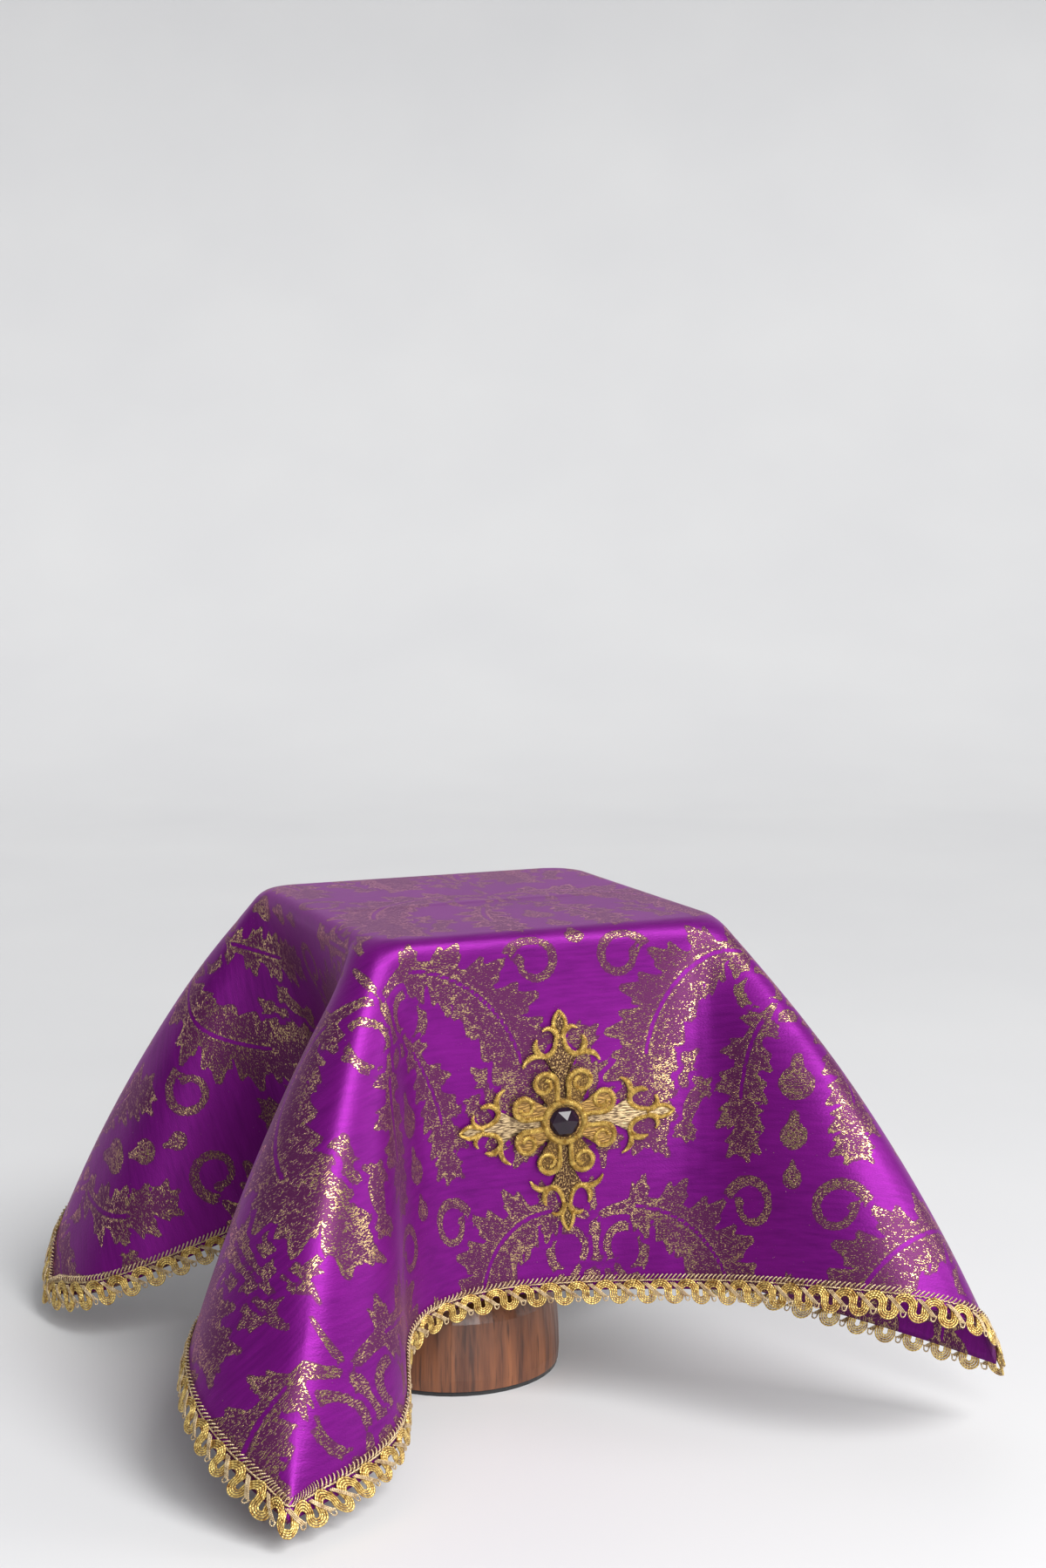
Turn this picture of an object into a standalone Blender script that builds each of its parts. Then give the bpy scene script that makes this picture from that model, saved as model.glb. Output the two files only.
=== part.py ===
"""A chalice veil of purple brocade, draped over a small wooden display stand.

The origin is the middle of the stand's foot, on the surface that it rests on. +X runs to the right along
the front hem, -Y is the front, where the cross is sewn, and +Z is up. Lengths are in metres.

The cloth is a square that lies flat on the board of the stand and hangs from its edge. Outside the board
it is made of straight lines, called rulings here, that run from the board's edge to the hem. At the
corners of the square they fan out into four rounded folds.
"""

import math
from collections import namedtuple

import bmesh
import bpy
import numpy as np
from mathutils import Matrix, Vector

MM = 0.001
UP = Vector((0, 0, 1))
GAP = 0.3 * MM  # between flat pieces that lie on each other
CURVED_GAP = 0.45 * MM  # between curved layers, whose facets come nearer than that

# The cloth
VEIL_SIDE = 550 * MM  # the square as it is cut
SHEET = 2 * MM  # thickness
CREST = 235.5 * MM  # height of the flat top
TOP_HALF = 95.6 * MM  # half the width of the flat top, at the cloth's outer face
TOP_CORNER = 25 * MM  # radius of the flat top's corners
TOP_CENTRE = Vector((20.8, 12.6, 0)) * MM  # the board sits a little off the foot's middle
SHOULDER = 10 * MM  # the cloth turns down over this length each side of the edge
CORNER_BOW = 12.8 * MM  # how far a corner fold swells out between top and hem
CORNER_BOW_OUT = 0.85
CORNER_BOW_UP = 0.5
HANGING_ROWS = 4  # strips of faces between the shoulder and the braid

# Where the hem hangs, in mm: a row for each fold along a side, from the side's first corner.
# share is the place along the side of the flat square, from 0 to 1.
Station = namedtuple("Station", "fold share x y height")
HEM = {
    "front": [
        Station("left tip", 0.00, -146, -181, 14),
        Station("fold side", 0.10, -87, -150, 24),
        Station("fold back", 0.22, -61, -95, 43),
        Station("valley", 0.35, -24, -73, 55),
        Station("flap", 0.50, 33, -87, 59),
        Station("rise", 0.65, 88, -129, 65),
        Station("fold front", 0.78, 124, -180, 72),
        Station("fold crown", 0.90, 175, -208, 63),
    ],
    "right": [
        Station("front tip", 0.00, 205, -183, 30),
        Station("fold side", 0.10, 179, -154, 37),
        Station("fold back", 0.22, 129, -118, 51),
        Station("valley", 0.35, 67, -74, 67),
        Station("flap", 0.50, 79, -23, 68),
        Station("rise", 0.65, 164, 24, 74),
        Station("fold front", 0.78, 176, 94, 55),
        Station("fold crown", 0.90, 168, 162, 28),
    ],
    "back": [
        Station("right tip", 0.00, 185, 212, 14),
        Station("fold side", 0.10, 133, 205, 38),
        Station("fold back", 0.22, 112, 150, 50),
        Station("valley", 0.35, 72, 92, 62),
        Station("flap", 0.50, 8, 97, 61),
        Station("rise", 0.65, -51, 130, 60),
        Station("fold front", 0.78, -110, 166, 61),
        Station("fold crown", 0.90, -164, 171, 45),
    ],
    "left": [
        Station("back tip", 0.00, -180, 143, 14),
        Station("fold side", 0.10, -161, 98, 26),
        Station("fold back", 0.22, -102, 85, 47),
        Station("valley", 0.35, -42, 74, 62),
        Station("flap", 0.50, -28, 14, 66),
        Station("rise", 0.65, -92, -35, 61),
        Station("fold front", 0.78, -151, -66, 60),
        Station("fold crown", 0.90, -169, -128, 39),
    ],
}

# The braid along the hem
BRAID_ON_CLOTH = 7.5 * MM  # how far it reaches up from the hem
BRAID_PAST_HEM = 4.5 * MM  # to the notch between two scallops
SCALLOP_DEPTH = 2.5 * MM
SCALLOP_PITCH = 13.6 * MM
SCALLOP_STEPS = 4  # faces along one scallop
BRAID_THICK = 1.2 * MM

# The cross on the front flap, in the plane of the cloth
CROSS_CENTRE = Vector((-4.8, -188.9)) * MM  # on the flat square, from its middle
CROSS_TURN = math.radians(1.5)
CROSS_LIFT = 0.9 * MM  # clears the facets of the draped sheet
CROSS_THICK = 1.2 * MM
CROSS_HEART = 13 * MM  # radius of the round middle of the cross
BEND_STEP = 13 * MM  # the cross is cut into upright strips of this width, so that it bends with the cloth
# Half the outline of one arm, in mm, from the middle to the tip. across is to the side, along is outward.
Outline = namedtuple("Outline", "spot across along")
ARM = [
    Outline("neck", 2.4, 17.0),
    Outline("flare", 4.6, 24.5),
    Outline("leaf root", 9.0, 29.6),
    Outline("leaf bend", 13.5, 29.8),
    Outline("leaf tip", 18.3, 27.4),
    Outline("leaf back", 16.6, 32.0),
    Outline("hook root", 12.4, 33.8),
    Outline("hook side", 11.6, 38.4),
    Outline("hook tip", 9.8, 42.6),
    Outline("hook inside", 8.9, 38.2),
    Outline("eye foot", 7.0, 35.0),
    Outline("eye floor", 4.6, 34.4),
    Outline("eye wall", 2.6, 36.6),
    Outline("eye head", 2.7, 41.0),
    Outline("barb inside", 5.0, 43.6),
    Outline("barb tip", 9.2, 42.9),
    Outline("barb back", 8.2, 45.6),
    Outline("barb root", 4.4, 46.6),
    Outline("bud waist", 2.6, 46.6),
    Outline("bud side", 3.3, 49.2),
    Outline("tip", 0.0, 54.5),
]

# The raised rosette of eight scrolls round the stone
ROSETTE_HOLE = 8.2 * MM
RING_CREST = 9.7 * MM
RING_FOOT = 11.2 * MM
ROSETTE_WAIST = 12.4 * MM  # radius between two pairs of scrolls
SCROLL_RADIUS = 6.6 * MM
SCROLL_DISTANCE = 19.6 * MM
SCROLL_SPREAD = math.radians(19)  # each side of a diagonal
ROSETTE_STEPS = 72
RING_HEIGHT = 2.8 * MM
ROSETTE_EDGE = 1.6 * MM
ROSETTE_TROUGH = 1.3 * MM
SCROLL_HEIGHT = 2.1 * MM

# The faceted stone, as a turned profile in mm
STONE_SIDES = 12
STONE_PROFILE = [(0, 3.7), (4.3, 3.7), (7.4, 1.7), (7.4, 0), (0, 0)]

# The stand, with the foot as a turned profile of radius and height in mm
PAD_RADIUS = 53.0 * MM
PAD_THICK = 2.0 * MM
FOOT_PROFILE = [
    (0, 48),
    (32, 48),
    (43, 46.6),
    (49.5, 43),
    (52.4, 36),
    (53.6, 20),
    (54, 8),
    (53.6, 2.3),
    (0, 2.3),
]
FOOT_TOP = FOOT_PROFILE[0][1] * MM
ROUND_STEPS = 48
BOARD_HALF = 86.5 * MM
BOARD_CORNER = 16 * MM
BOARD_THICK = 8 * MM
BOARD_EDGE = 3.5 * MM
BOARD_TOP = CREST - SHEET - GAP
STEM_BASE = FOOT_TOP + GAP
STEM_TOP = BOARD_TOP - BOARD_THICK - GAP
STEM_WAIST = 9.5 * MM
STEM_FLANGE = 16 * MM
STEM_FLANGE_THICK = 6 * MM
STEM_FLARE = 16 * MM
STEM_STEPS = 24

# Base colours, linear, with roughness and metallic
Finish = namedtuple("Finish", "colour roughness metallic")
FINISHES = {
    "veil_cloth": Finish((0.115, 0.008, 0.185), 0.55, 0.0),
    "braid": Finish((0.62, 0.42, 0.12), 0.40, 0.8),
    "cross": Finish((0.60, 0.40, 0.12), 0.45, 0.6),
    "rosette": Finish((0.66, 0.45, 0.13), 0.40, 0.7),
    "stone": Finish((0.006, 0.004, 0.008), 0.05, 0.0),
    "stand_board": Finish((0.14, 0.055, 0.025), 0.45, 0.0),
    "stand_stem": Finish((0.14, 0.055, 0.025), 0.45, 0.0),
    "stand_foot": Finish((0.14, 0.055, 0.025), 0.45, 0.0),
    "foot_pad": Finish((0.01, 0.01, 0.01), 0.80, 0.0),
}

CORNERS = [Vector((-1, -1)), Vector((1, -1)), Vector((1, 1)), Vector((-1, 1))]


def clear_scene():
    for old in list(bpy.data.objects):
        bpy.data.objects.remove(old, do_unlink=True)


def natural_spline(knots, points):
    """A smooth curve through the points, as a function of the place between the first and last knot."""
    spans = np.diff(knots)
    count = len(knots)
    system = np.eye(count)
    right = np.zeros((count, 3))
    for i in range(1, count - 1):
        system[i, i - 1 : i + 2] = spans[i - 1], 2 * (spans[i - 1] + spans[i]), spans[i]
        after = (points[i + 1] - points[i]) / spans[i]
        before = (points[i] - points[i - 1]) / spans[i - 1]
        right[i] = 6 * (after - before)
    bends = np.linalg.solve(system, right)

    def at(place):
        i = int(np.clip(np.searchsorted(knots, place, side="right") - 1, 0, count - 2))
        rest = (place - knots[i]) / spans[i]
        left = 1 - rest
        straight = left * points[i] + rest * points[i + 1]
        bent = (left**3 - left) * bends[i] + (rest**3 - rest) * bends[i + 1]
        return Vector(straight + bent * spans[i] ** 2 / 6)

    return at


def hem_curves():
    """One curve for each side of the hem, front, right, back and left."""
    sides = list(HEM.values())
    curves = []
    for i, stations in enumerate(sides):
        closing = sides[(i + 1) % 4][0]
        knots = [s.share for s in stations] + [1.0]
        points = [(s.x, s.y, s.height) for s in [*stations, closing]]
        curves.append(natural_spline(np.array(knots), np.array(points) * MM))
    return curves


HEM_CURVES = hem_curves()

Ruling = namedtuple("Ruling", "out edge hem reach slant cornering")


def ruling_through(flat):
    """The line of the hanging cloth through a point of the flat square that lies outside the board.

    out points away from the board, edge and hem are the ends in space, reach is the flat length between
    them, slant is the cosine to the hem's normal, and cornering is 1 on a diagonal and 0 in mid side.
    """
    core = TOP_HALF - TOP_CORNER
    start = Vector([max(-core, min(core, c)) for c in flat])
    out = (flat - start).normalized()
    half = VEIL_SIDE / 2
    runs = [(half - start[i] * math.copysign(1, out[i])) / max(abs(out[i]), 1e-9) for i in (0, 1)]
    across = 0 if runs[0] < runs[1] else 1  # the axis that the reached side is square to
    meet = start + out * runs[across]
    if across == 1:
        side = 0 if out.y < 0 else 2
    else:
        side = 1 if out.x > 0 else 3
    first = CORNERS[side] * half
    share = (meet - first).length / VEIL_SIDE
    edge = (start + out * TOP_CORNER).to_3d() + TOP_CENTRE + UP * CREST
    return Ruling(
        out=out.to_3d(),
        edge=edge,
        hem=HEM_CURVES[side](share),
        reach=runs[across] - TOP_CORNER,
        slant=abs(out[across]),
        cornering=min(abs(out.x), abs(out.y)) * math.sqrt(2),
    )


def hanging(ruling, run):
    """Point of a ruling at a flat length from the board's edge, with the corner folds' swelling."""
    share = run / ruling.reach
    bow = CORNER_BOW * 4 * share * (1 - share) * ruling.cornering
    return ruling.edge.lerp(ruling.hem, share) + ruling.out * bow * CORNER_BOW_OUT + UP * bow * CORNER_BOW_UP


def point_on(ruling, run):
    """Point of the cloth's outer face: flat top, then the rounded shoulder, then the hanging ruling."""
    if run <= -SHOULDER:
        return ruling.edge + ruling.out * run
    if run >= SHOULDER:
        return hanging(ruling, run)
    share = (run + SHOULDER) / (2 * SHOULDER)
    level = ruling.edge - ruling.out * SHOULDER
    fallen = hanging(ruling, SHOULDER)
    return level * (1 - share) ** 2 + ruling.edge * 2 * share * (1 - share) + fallen * share**2


def drape(flat):
    """Where a point of the flat square, outside the board, hangs."""
    core = TOP_HALF - TOP_CORNER
    start = Vector([max(-core, min(core, c)) for c in flat])
    return point_on(ruling_through(flat), (flat - start).length - TOP_CORNER)


def hem_columns():
    """Rulings at the middle of each scallop, evenly spaced along the hanging hem."""
    samples = np.linspace(0, 1, 401)
    columns = []
    for side, curve in enumerate(HEM_CURVES):
        points = [curve(s) for s in samples]
        steps = [(b - a).length for a, b in zip(points, points[1:])]
        lengths = np.concatenate([[0], np.cumsum(steps)])
        count = round(lengths[-1] / SCALLOP_PITCH)
        places = np.interp(np.arange(count) / count * lengths[-1], lengths, samples)
        first = CORNERS[side] * VEIL_SIDE / 2
        last = CORNERS[(side + 1) % 4] * VEIL_SIDE / 2
        columns += [ruling_through(first.lerp(last, place)) for place in places]
    return columns


def finish(name):
    """A plain material for the sub-part of that name."""
    material = bpy.data.materials.new(name)
    material.use_nodes = True
    shader = material.node_tree.nodes["Principled BSDF"]
    look = FINISHES[name]
    shader.inputs["Base Color"].default_value = (*look.colour, 1)
    shader.inputs["Roughness"].default_value = look.roughness
    shader.inputs["Metallic"].default_value = look.metallic
    material.diffuse_color = (*look.colour, 1)
    return material


def add_object(name, mesh, collection, smooth=True):
    mesh.materials.clear()
    mesh.materials.append(finish(name))
    if smooth:
        mesh.shade_smooth()
        mesh.set_sharp_from_angle(angle=math.radians(35))
    obj = bpy.data.objects.new(name, mesh)
    collection.objects.link(obj)
    return obj


def mesh_from(name, points, faces):
    mesh = bpy.data.meshes.new(name)
    mesh.from_pydata([tuple(p) for p in points], [], faces)
    mesh.update()
    return mesh


def strips(columns, rows):
    """Faces of a closed band: points are numbered row by row, with a point for each column in a row."""
    faces = []
    for r in range(rows - 1):
        high = r * columns
        low = high + columns
        for c in range(columns):
            after = (c + 1) % columns
            faces.append((high + c, low + c, low + after, high + after))
    return faces


def thicken(obj, thickness, offset):
    solid = obj.modifiers.new("Thickness", "SOLIDIFY")
    solid.thickness = thickness
    solid.offset = offset
    solid.use_even_offset = True


def cloth_runs(ruling):
    """Flat lengths from the board's edge at which a column of the sheet has a point."""
    braid_top = ruling.reach - BRAID_ON_CLOTH / ruling.slant
    fall = braid_top - SHOULDER
    hung = [SHOULDER + fall * i / HANGING_ROWS for i in range(HANGING_ROWS + 1)]
    return [-SHOULDER, -SHOULDER / 3, SHOULDER / 3, *hung, ruling.reach]


def make_cloth(columns, collection):
    """The draped square: a flat top and strips of faces down to the hem, thickened inward."""
    runs = [cloth_runs(ruling) for ruling in columns]
    rows = len(runs[0])
    points = [point_on(columns[c], runs[c][r]) for r in range(rows) for c in range(len(columns))]
    faces = strips(len(columns), rows)
    faces.append(tuple(range(len(columns))))
    cloth = add_object("veil_cloth", mesh_from("veil_cloth", points, faces), collection)
    thicken(cloth, SHEET, -1)
    return cloth


def make_braid(columns, cloth, collection):
    """A band with a scallop at each column, which lies on the hem's outer face and reaches past it."""
    count = len(columns)
    vertices = cloth.data.vertices
    hem_row = len(vertices) - count
    tops = []
    hems = []
    for c in range(count):
        top = vertices[hem_row - count + c]
        hem = vertices[hem_row + c]
        outward = (top.normal + hem.normal).normalized()
        tops.append(top.co + outward * CURVED_GAP)
        hems.append(hem.co + outward * CURVED_GAP)

    def low(c, drop):
        down = (hems[c] - tops[c]).normalized()
        return hems[c] + down * drop / columns[c].slant

    upper = []
    lower = []
    for c in range(count):
        after = (c + 1) % count
        for step in range(SCALLOP_STEPS):
            share = step / SCALLOP_STEPS
            drop = BRAID_PAST_HEM + SCALLOP_DEPTH * abs(math.cos(math.pi * share))
            upper.append(tops[c].lerp(tops[after], share))
            lower.append(low(c, drop).lerp(low(after, drop), share))
    mesh = mesh_from("braid", upper + lower, strips(count * SCALLOP_STEPS, 2))
    braid = add_object("braid", mesh, collection)
    thicken(braid, BRAID_THICK, 1)


def cross_frame():
    """Flat steps that measure a true length along and across the cross on the hanging cloth."""
    probe = 20 * MM
    right, left, top, bottom = [
        drape(CROSS_CENTRE + Vector(step) * probe) for step in ((1, 0), (-1, 0), (0, 1), (0, -1))
    ]
    stretch = np.array([(right - left) / (2 * probe), (top - bottom) / (2 * probe)]).T
    normal = (right - left).cross(top - bottom).normalized()
    across = Matrix.Rotation(CROSS_TURN, 3, normal) @ (right - left).normalized()
    along = normal.cross(across)
    return np.linalg.pinv(stretch) @ np.array([across, along]).T


CROSS_STEPS = cross_frame()


def on_cloth(x, y, lift):
    """A point of the cross's own plane, laid on the hanging cloth and lifted off it."""
    flat = CROSS_CENTRE + Vector(CROSS_STEPS @ np.array([x, y]))
    near = 2 * MM
    here = drape(flat)
    right = drape(flat + Vector((near, 0))) - here
    top = drape(flat + Vector((0, near))) - here
    return here + right.cross(top).normalized() * lift


def cross_outline():
    """The whole outline: four arms, each mirrored about its middle, on a round heart."""
    arm = [(-p.across, p.along) for p in ARM[:-1]] + [(p.across, p.along) for p in reversed(ARM)]
    outline = []
    for turn in range(4):
        rotation = Matrix.Rotation(-turn * math.pi / 2, 2)
        outline += [rotation @ Vector(p) * MM for p in arm]
        angle = math.pi / 4 - turn * math.pi / 2
        outline.append(Vector((math.cos(angle), math.sin(angle))) * CROSS_HEART)
    return outline


def make_cross(collection):
    """The embroidered cross: a filled outline, cut into strips, bent onto the cloth and thickened."""
    curve = bpy.data.curves.new("cross_outline", "CURVE")
    curve.dimensions = "2D"
    curve.fill_mode = "BOTH"
    spline = curve.splines.new("POLY")
    outline = cross_outline()
    spline.points.add(len(outline) - 1)
    for point, place in zip(spline.points, outline):
        point.co = (place.x, place.y, 0, 1)
    spline.use_cyclic_u = True
    flat = bpy.data.objects.new("cross_outline", curve)
    collection.objects.link(flat)
    filled = bpy.data.meshes.new_from_object(flat.evaluated_get(bpy.context.evaluated_depsgraph_get()))
    bpy.data.objects.remove(flat)

    shape = bmesh.new()
    shape.from_mesh(filled)
    bmesh.ops.remove_doubles(shape, verts=shape.verts, dist=0.01 * MM)
    strips_each_way = math.ceil(max(p.along for p in ARM) * MM / BEND_STEP)
    for line in range(-strips_each_way, strips_each_way):
        everything = [*shape.verts, *shape.edges, *shape.faces]
        place = Vector(((line + 0.5) * BEND_STEP, 0, 0))
        bmesh.ops.bisect_plane(shape, geom=everything, dist=0.01 * MM, plane_co=place, plane_no=(1, 0, 0))
    for face in shape.faces:
        if face.normal.z < 0:
            face.normal_flip()
    for vertex in shape.verts:
        vertex.co = on_cloth(vertex.co.x, vertex.co.y, CROSS_LIFT)
    mesh = bpy.data.meshes.new("cross")
    shape.to_mesh(mesh)
    shape.free()
    cross = add_object("cross", mesh, collection)
    thicken(cross, CROSS_THICK, 1)


def scroll_reach(angle):
    """Radius of the rosette's outline at an angle: the far side of a scroll, or the waist between."""
    reach = ROSETTE_WAIST
    for quarter in range(4):
        for hand in (-1, 1):
            middle = math.pi / 4 + quarter * math.pi / 2 + hand * SCROLL_SPREAD
            off = math.remainder(angle - middle, 2 * math.pi)
            inside = SCROLL_RADIUS**2 - (SCROLL_DISTANCE * math.sin(off)) ** 2
            if inside > 0 and math.cos(off) > 0:
                reach = max(reach, SCROLL_DISTANCE * math.cos(off) + math.sqrt(inside))
    return reach


def make_rosette(collection):
    """A ring round the stone and eight scroll lobes, lofted round the middle as one closed section."""
    base = CROSS_LIFT + CROSS_THICK + CURVED_GAP
    section = []
    for step in range(ROSETTE_STEPS):
        angle = 2 * math.pi * step / ROSETTE_STEPS
        far = scroll_reach(angle)
        mid = (RING_FOOT + far) / 2
        section.append(
            [
                (angle, ROSETTE_HOLE, base),
                (angle, ROSETTE_HOLE, base + ROSETTE_EDGE),
                (angle, RING_CREST, base + RING_HEIGHT),
                (angle, RING_FOOT, base + ROSETTE_TROUGH),
                (angle, mid, base + ROSETTE_TROUGH),
                (angle, far - MM, base + SCROLL_HEIGHT),
                (angle, far, base + ROSETTE_EDGE / 2),
                (angle, far, base),
                (angle, mid, base),
            ]
        )
    rows = len(section[0])
    points = []
    for r in range(rows):
        for column in section:
            angle, radius, lift = column[r]
            points.append(on_cloth(radius * math.cos(angle), radius * math.sin(angle), lift))
    faces = strips(ROSETTE_STEPS, rows)
    last = (rows - 1) * ROSETTE_STEPS
    for c in range(ROSETTE_STEPS):
        after = (c + 1) % ROSETTE_STEPS
        faces.append((last + c, c, after, last + after))
    mesh = mesh_from("rosette", points, faces)
    shape = bmesh.new()
    shape.from_mesh(mesh)
    bmesh.ops.recalc_face_normals(shape, faces=shape.faces)
    shape.to_mesh(mesh)
    shape.free()
    add_object("rosette", mesh, collection)


def turned(name, profile, steps, collection, smooth=True):
    """A profile of radius and height, top to bottom on its outer side, turned about Z."""
    points = [(radius, 0, height) for radius, height in profile]
    mesh = bpy.data.meshes.new(name)
    mesh.from_pydata(points, [(i, i + 1) for i in range(len(points) - 1)], [])
    obj = add_object(name, mesh, collection, smooth)
    screw = obj.modifiers.new("Turn", "SCREW")
    screw.steps = steps
    screw.render_steps = steps
    screw.use_merge_vertices = True
    screw.merge_threshold = 0.01 * MM
    screw.use_smooth_shade = smooth
    return obj


def in_metres(profile):
    return [(radius * MM, height * MM) for radius, height in profile]


def make_stone(collection):
    """The cut stone in the rosette's hole, square to the cloth there."""
    stone = turned("stone", in_metres(STONE_PROFILE), STONE_SIDES, collection, smooth=False)
    lift = CROSS_LIFT + CROSS_THICK + CURVED_GAP
    seat = on_cloth(0, 0, lift)
    normal = (on_cloth(0, 0, lift + MM) - seat).normalized()
    stone.matrix_world = Matrix.Translation(seat) @ normal.to_track_quat("Z", "Y").to_matrix().to_4x4()


def make_board(collection):
    """The square board that the cloth lies on, with round corners and soft edges."""
    shape = bmesh.new()
    bmesh.ops.create_cube(shape, size=1)
    size = Matrix.Diagonal((2 * BOARD_HALF, 2 * BOARD_HALF, BOARD_THICK, 1))
    middle = TOP_CENTRE + UP * (BOARD_TOP - BOARD_THICK / 2)
    bmesh.ops.transform(shape, matrix=Matrix.Translation(middle) @ size, verts=shape.verts)
    upright = [e for e in shape.edges if abs(e.verts[0].co.z - e.verts[1].co.z) > BOARD_THICK / 2]
    bmesh.ops.bevel(shape, geom=upright, offset=BOARD_CORNER, segments=6, profile=0.5, affect="EDGES")
    level = [e for e in shape.edges if abs(e.verts[0].co.z - e.verts[1].co.z) < BOARD_THICK / 2]
    rims = [e for e in level if len({round(f.normal.z) for f in e.link_faces}) == 2]
    bmesh.ops.bevel(shape, geom=rims, offset=BOARD_EDGE, segments=3, profile=0.5, affect="EDGES")
    mesh = bpy.data.meshes.new("stand_board")
    shape.to_mesh(mesh)
    shape.free()
    add_object("stand_board", mesh, collection)


def make_stem(collection):
    profile = [
        (0, STEM_TOP),
        (STEM_FLANGE, STEM_TOP),
        (STEM_FLANGE, STEM_TOP - STEM_FLANGE_THICK),
        (STEM_WAIST, STEM_TOP - STEM_FLANGE_THICK - STEM_FLARE),
        (STEM_WAIST, STEM_BASE + STEM_FLANGE_THICK + STEM_FLARE),
        (STEM_FLANGE, STEM_BASE + STEM_FLANGE_THICK),
        (STEM_FLANGE, STEM_BASE),
        (0, STEM_BASE),
    ]
    turned("stand_stem", profile, STEM_STEPS, collection)


def make_foot(collection):
    turned("stand_foot", in_metres(FOOT_PROFILE), ROUND_STEPS, collection)
    pad = [(0, PAD_THICK), (PAD_RADIUS, PAD_THICK), (PAD_RADIUS, 0), (0, 0)]
    turned("foot_pad", pad, ROUND_STEPS, collection)


def main():
    clear_scene()
    collection = bpy.data.collections.new("chalice_veil_on_stand")
    bpy.context.scene.collection.children.link(collection)
    columns = hem_columns()
    cloth = make_cloth(columns, collection)
    make_braid(columns, cloth, collection)
    make_cross(collection)
    make_rosette(collection)
    make_stone(collection)
    make_board(collection)
    make_stem(collection)
    make_foot(collection)


main()
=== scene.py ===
# %% [markdown]
# # A purple chalice veil on its display stand
# A veil is a square of brocade with gold braid round its hem and a jewelled cross sewn on one flap.
# Here it hangs over a small board on a turned wooden stand, so its four corners swing out as soft folds.
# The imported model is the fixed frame: every piece below sits where that model says.

import math
from collections import namedtuple

import bmesh
import bpy
import numpy as np
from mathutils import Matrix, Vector


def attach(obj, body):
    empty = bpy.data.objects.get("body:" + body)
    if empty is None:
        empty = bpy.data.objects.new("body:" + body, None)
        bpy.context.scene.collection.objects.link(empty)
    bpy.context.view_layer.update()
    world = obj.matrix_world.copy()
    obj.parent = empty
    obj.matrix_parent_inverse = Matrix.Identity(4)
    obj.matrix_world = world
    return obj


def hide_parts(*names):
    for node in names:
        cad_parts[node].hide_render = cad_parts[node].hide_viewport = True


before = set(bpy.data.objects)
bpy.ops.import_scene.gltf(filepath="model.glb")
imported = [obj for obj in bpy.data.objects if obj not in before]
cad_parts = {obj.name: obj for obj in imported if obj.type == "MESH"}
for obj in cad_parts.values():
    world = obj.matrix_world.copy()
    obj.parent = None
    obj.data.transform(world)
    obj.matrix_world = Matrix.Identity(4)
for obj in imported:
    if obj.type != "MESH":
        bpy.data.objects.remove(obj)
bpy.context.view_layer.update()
print("nodes:", sorted(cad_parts))

# %% [markdown]
# ## The size of the cloth
# The cloth was cut as a square and hemmed. On the board it lies flat, and past the board's edge it hangs.
# Everything that is woven or sewn on the veil is planned on the flat square first, as a maker would do,
# and laid on the draped cloth afterwards.

# %% Sizes, in metres
MM = 0.001
VEIL_SIDE = 550 * MM
HALF = VEIL_SIDE / 2
CREST = 235.5 * MM
TOP_HALF = 95.6 * MM
TOP_CORNER = 25 * MM
TOP_CENTRE = np.array((20.8, 12.6, 0)) * MM
SHOULDER = 10 * MM
CORNER_BOW = 12.8 * MM
CORNERS = np.array([(-1, -1), (1, -1), (1, 1), (-1, 1)]) * HALF

# %% [markdown]
# ## Where the hem hangs
# Each side of the hem is one smooth curve through a few stations. A row says how far along the flat side
# it lies, from 0 to 1, and where it hangs, in mm. The first row of a side is a corner of the cloth. The
# stations came from a fit of the hem and the camera to places on the photo's hem, in whole mm. A second
# loop has its corners rounded, most of all the near one: the folds above the tips follow it.
# FOLD_SOFTNESS says how far each corner is rounded, in steps along the hem.

# %% Hem stations
Station = namedtuple("Station", "share x y height")
HEM = {
    "front": [
        Station(0.00, -146, -181, 14),
        Station(0.10, -87, -150, 24),
        Station(0.22, -61, -95, 43),
        Station(0.35, -24, -73, 55),
        Station(0.50, 33, -87, 59),
        Station(0.65, 88, -129, 65),
        Station(0.78, 124, -180, 72),
        Station(0.90, 175, -208, 63),
    ],
    "right": [
        Station(0.00, 205, -183, 30),
        Station(0.10, 179, -154, 37),
        Station(0.22, 129, -118, 51),
        Station(0.35, 67, -74, 67),
        Station(0.50, 79, -23, 68),
        Station(0.65, 164, 24, 74),
        Station(0.78, 176, 94, 55),
        Station(0.90, 168, 162, 28),
    ],
    "back": [
        Station(0.00, 185, 212, 14),
        Station(0.10, 133, 205, 38),
        Station(0.22, 112, 150, 50),
        Station(0.35, 72, 92, 62),
        Station(0.50, 8, 97, 61),
        Station(0.65, -51, 130, 60),
        Station(0.78, -110, 166, 61),
        Station(0.90, -164, 171, 45),
    ],
    "left": [
        Station(0.00, -180, 143, 14),
        Station(0.10, -161, 98, 26),
        Station(0.22, -102, 85, 47),
        Station(0.35, -42, 74, 62),
        Station(0.50, -28, 14, 66),
        Station(0.65, -92, -35, 61),
        Station(0.78, -151, -66, 60),
        Station(0.90, -169, -128, 39),
    ],
}
HEM_STEPS = 1200
FOLD_SOFTNESS = (34, 15, 15, 15)


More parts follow.
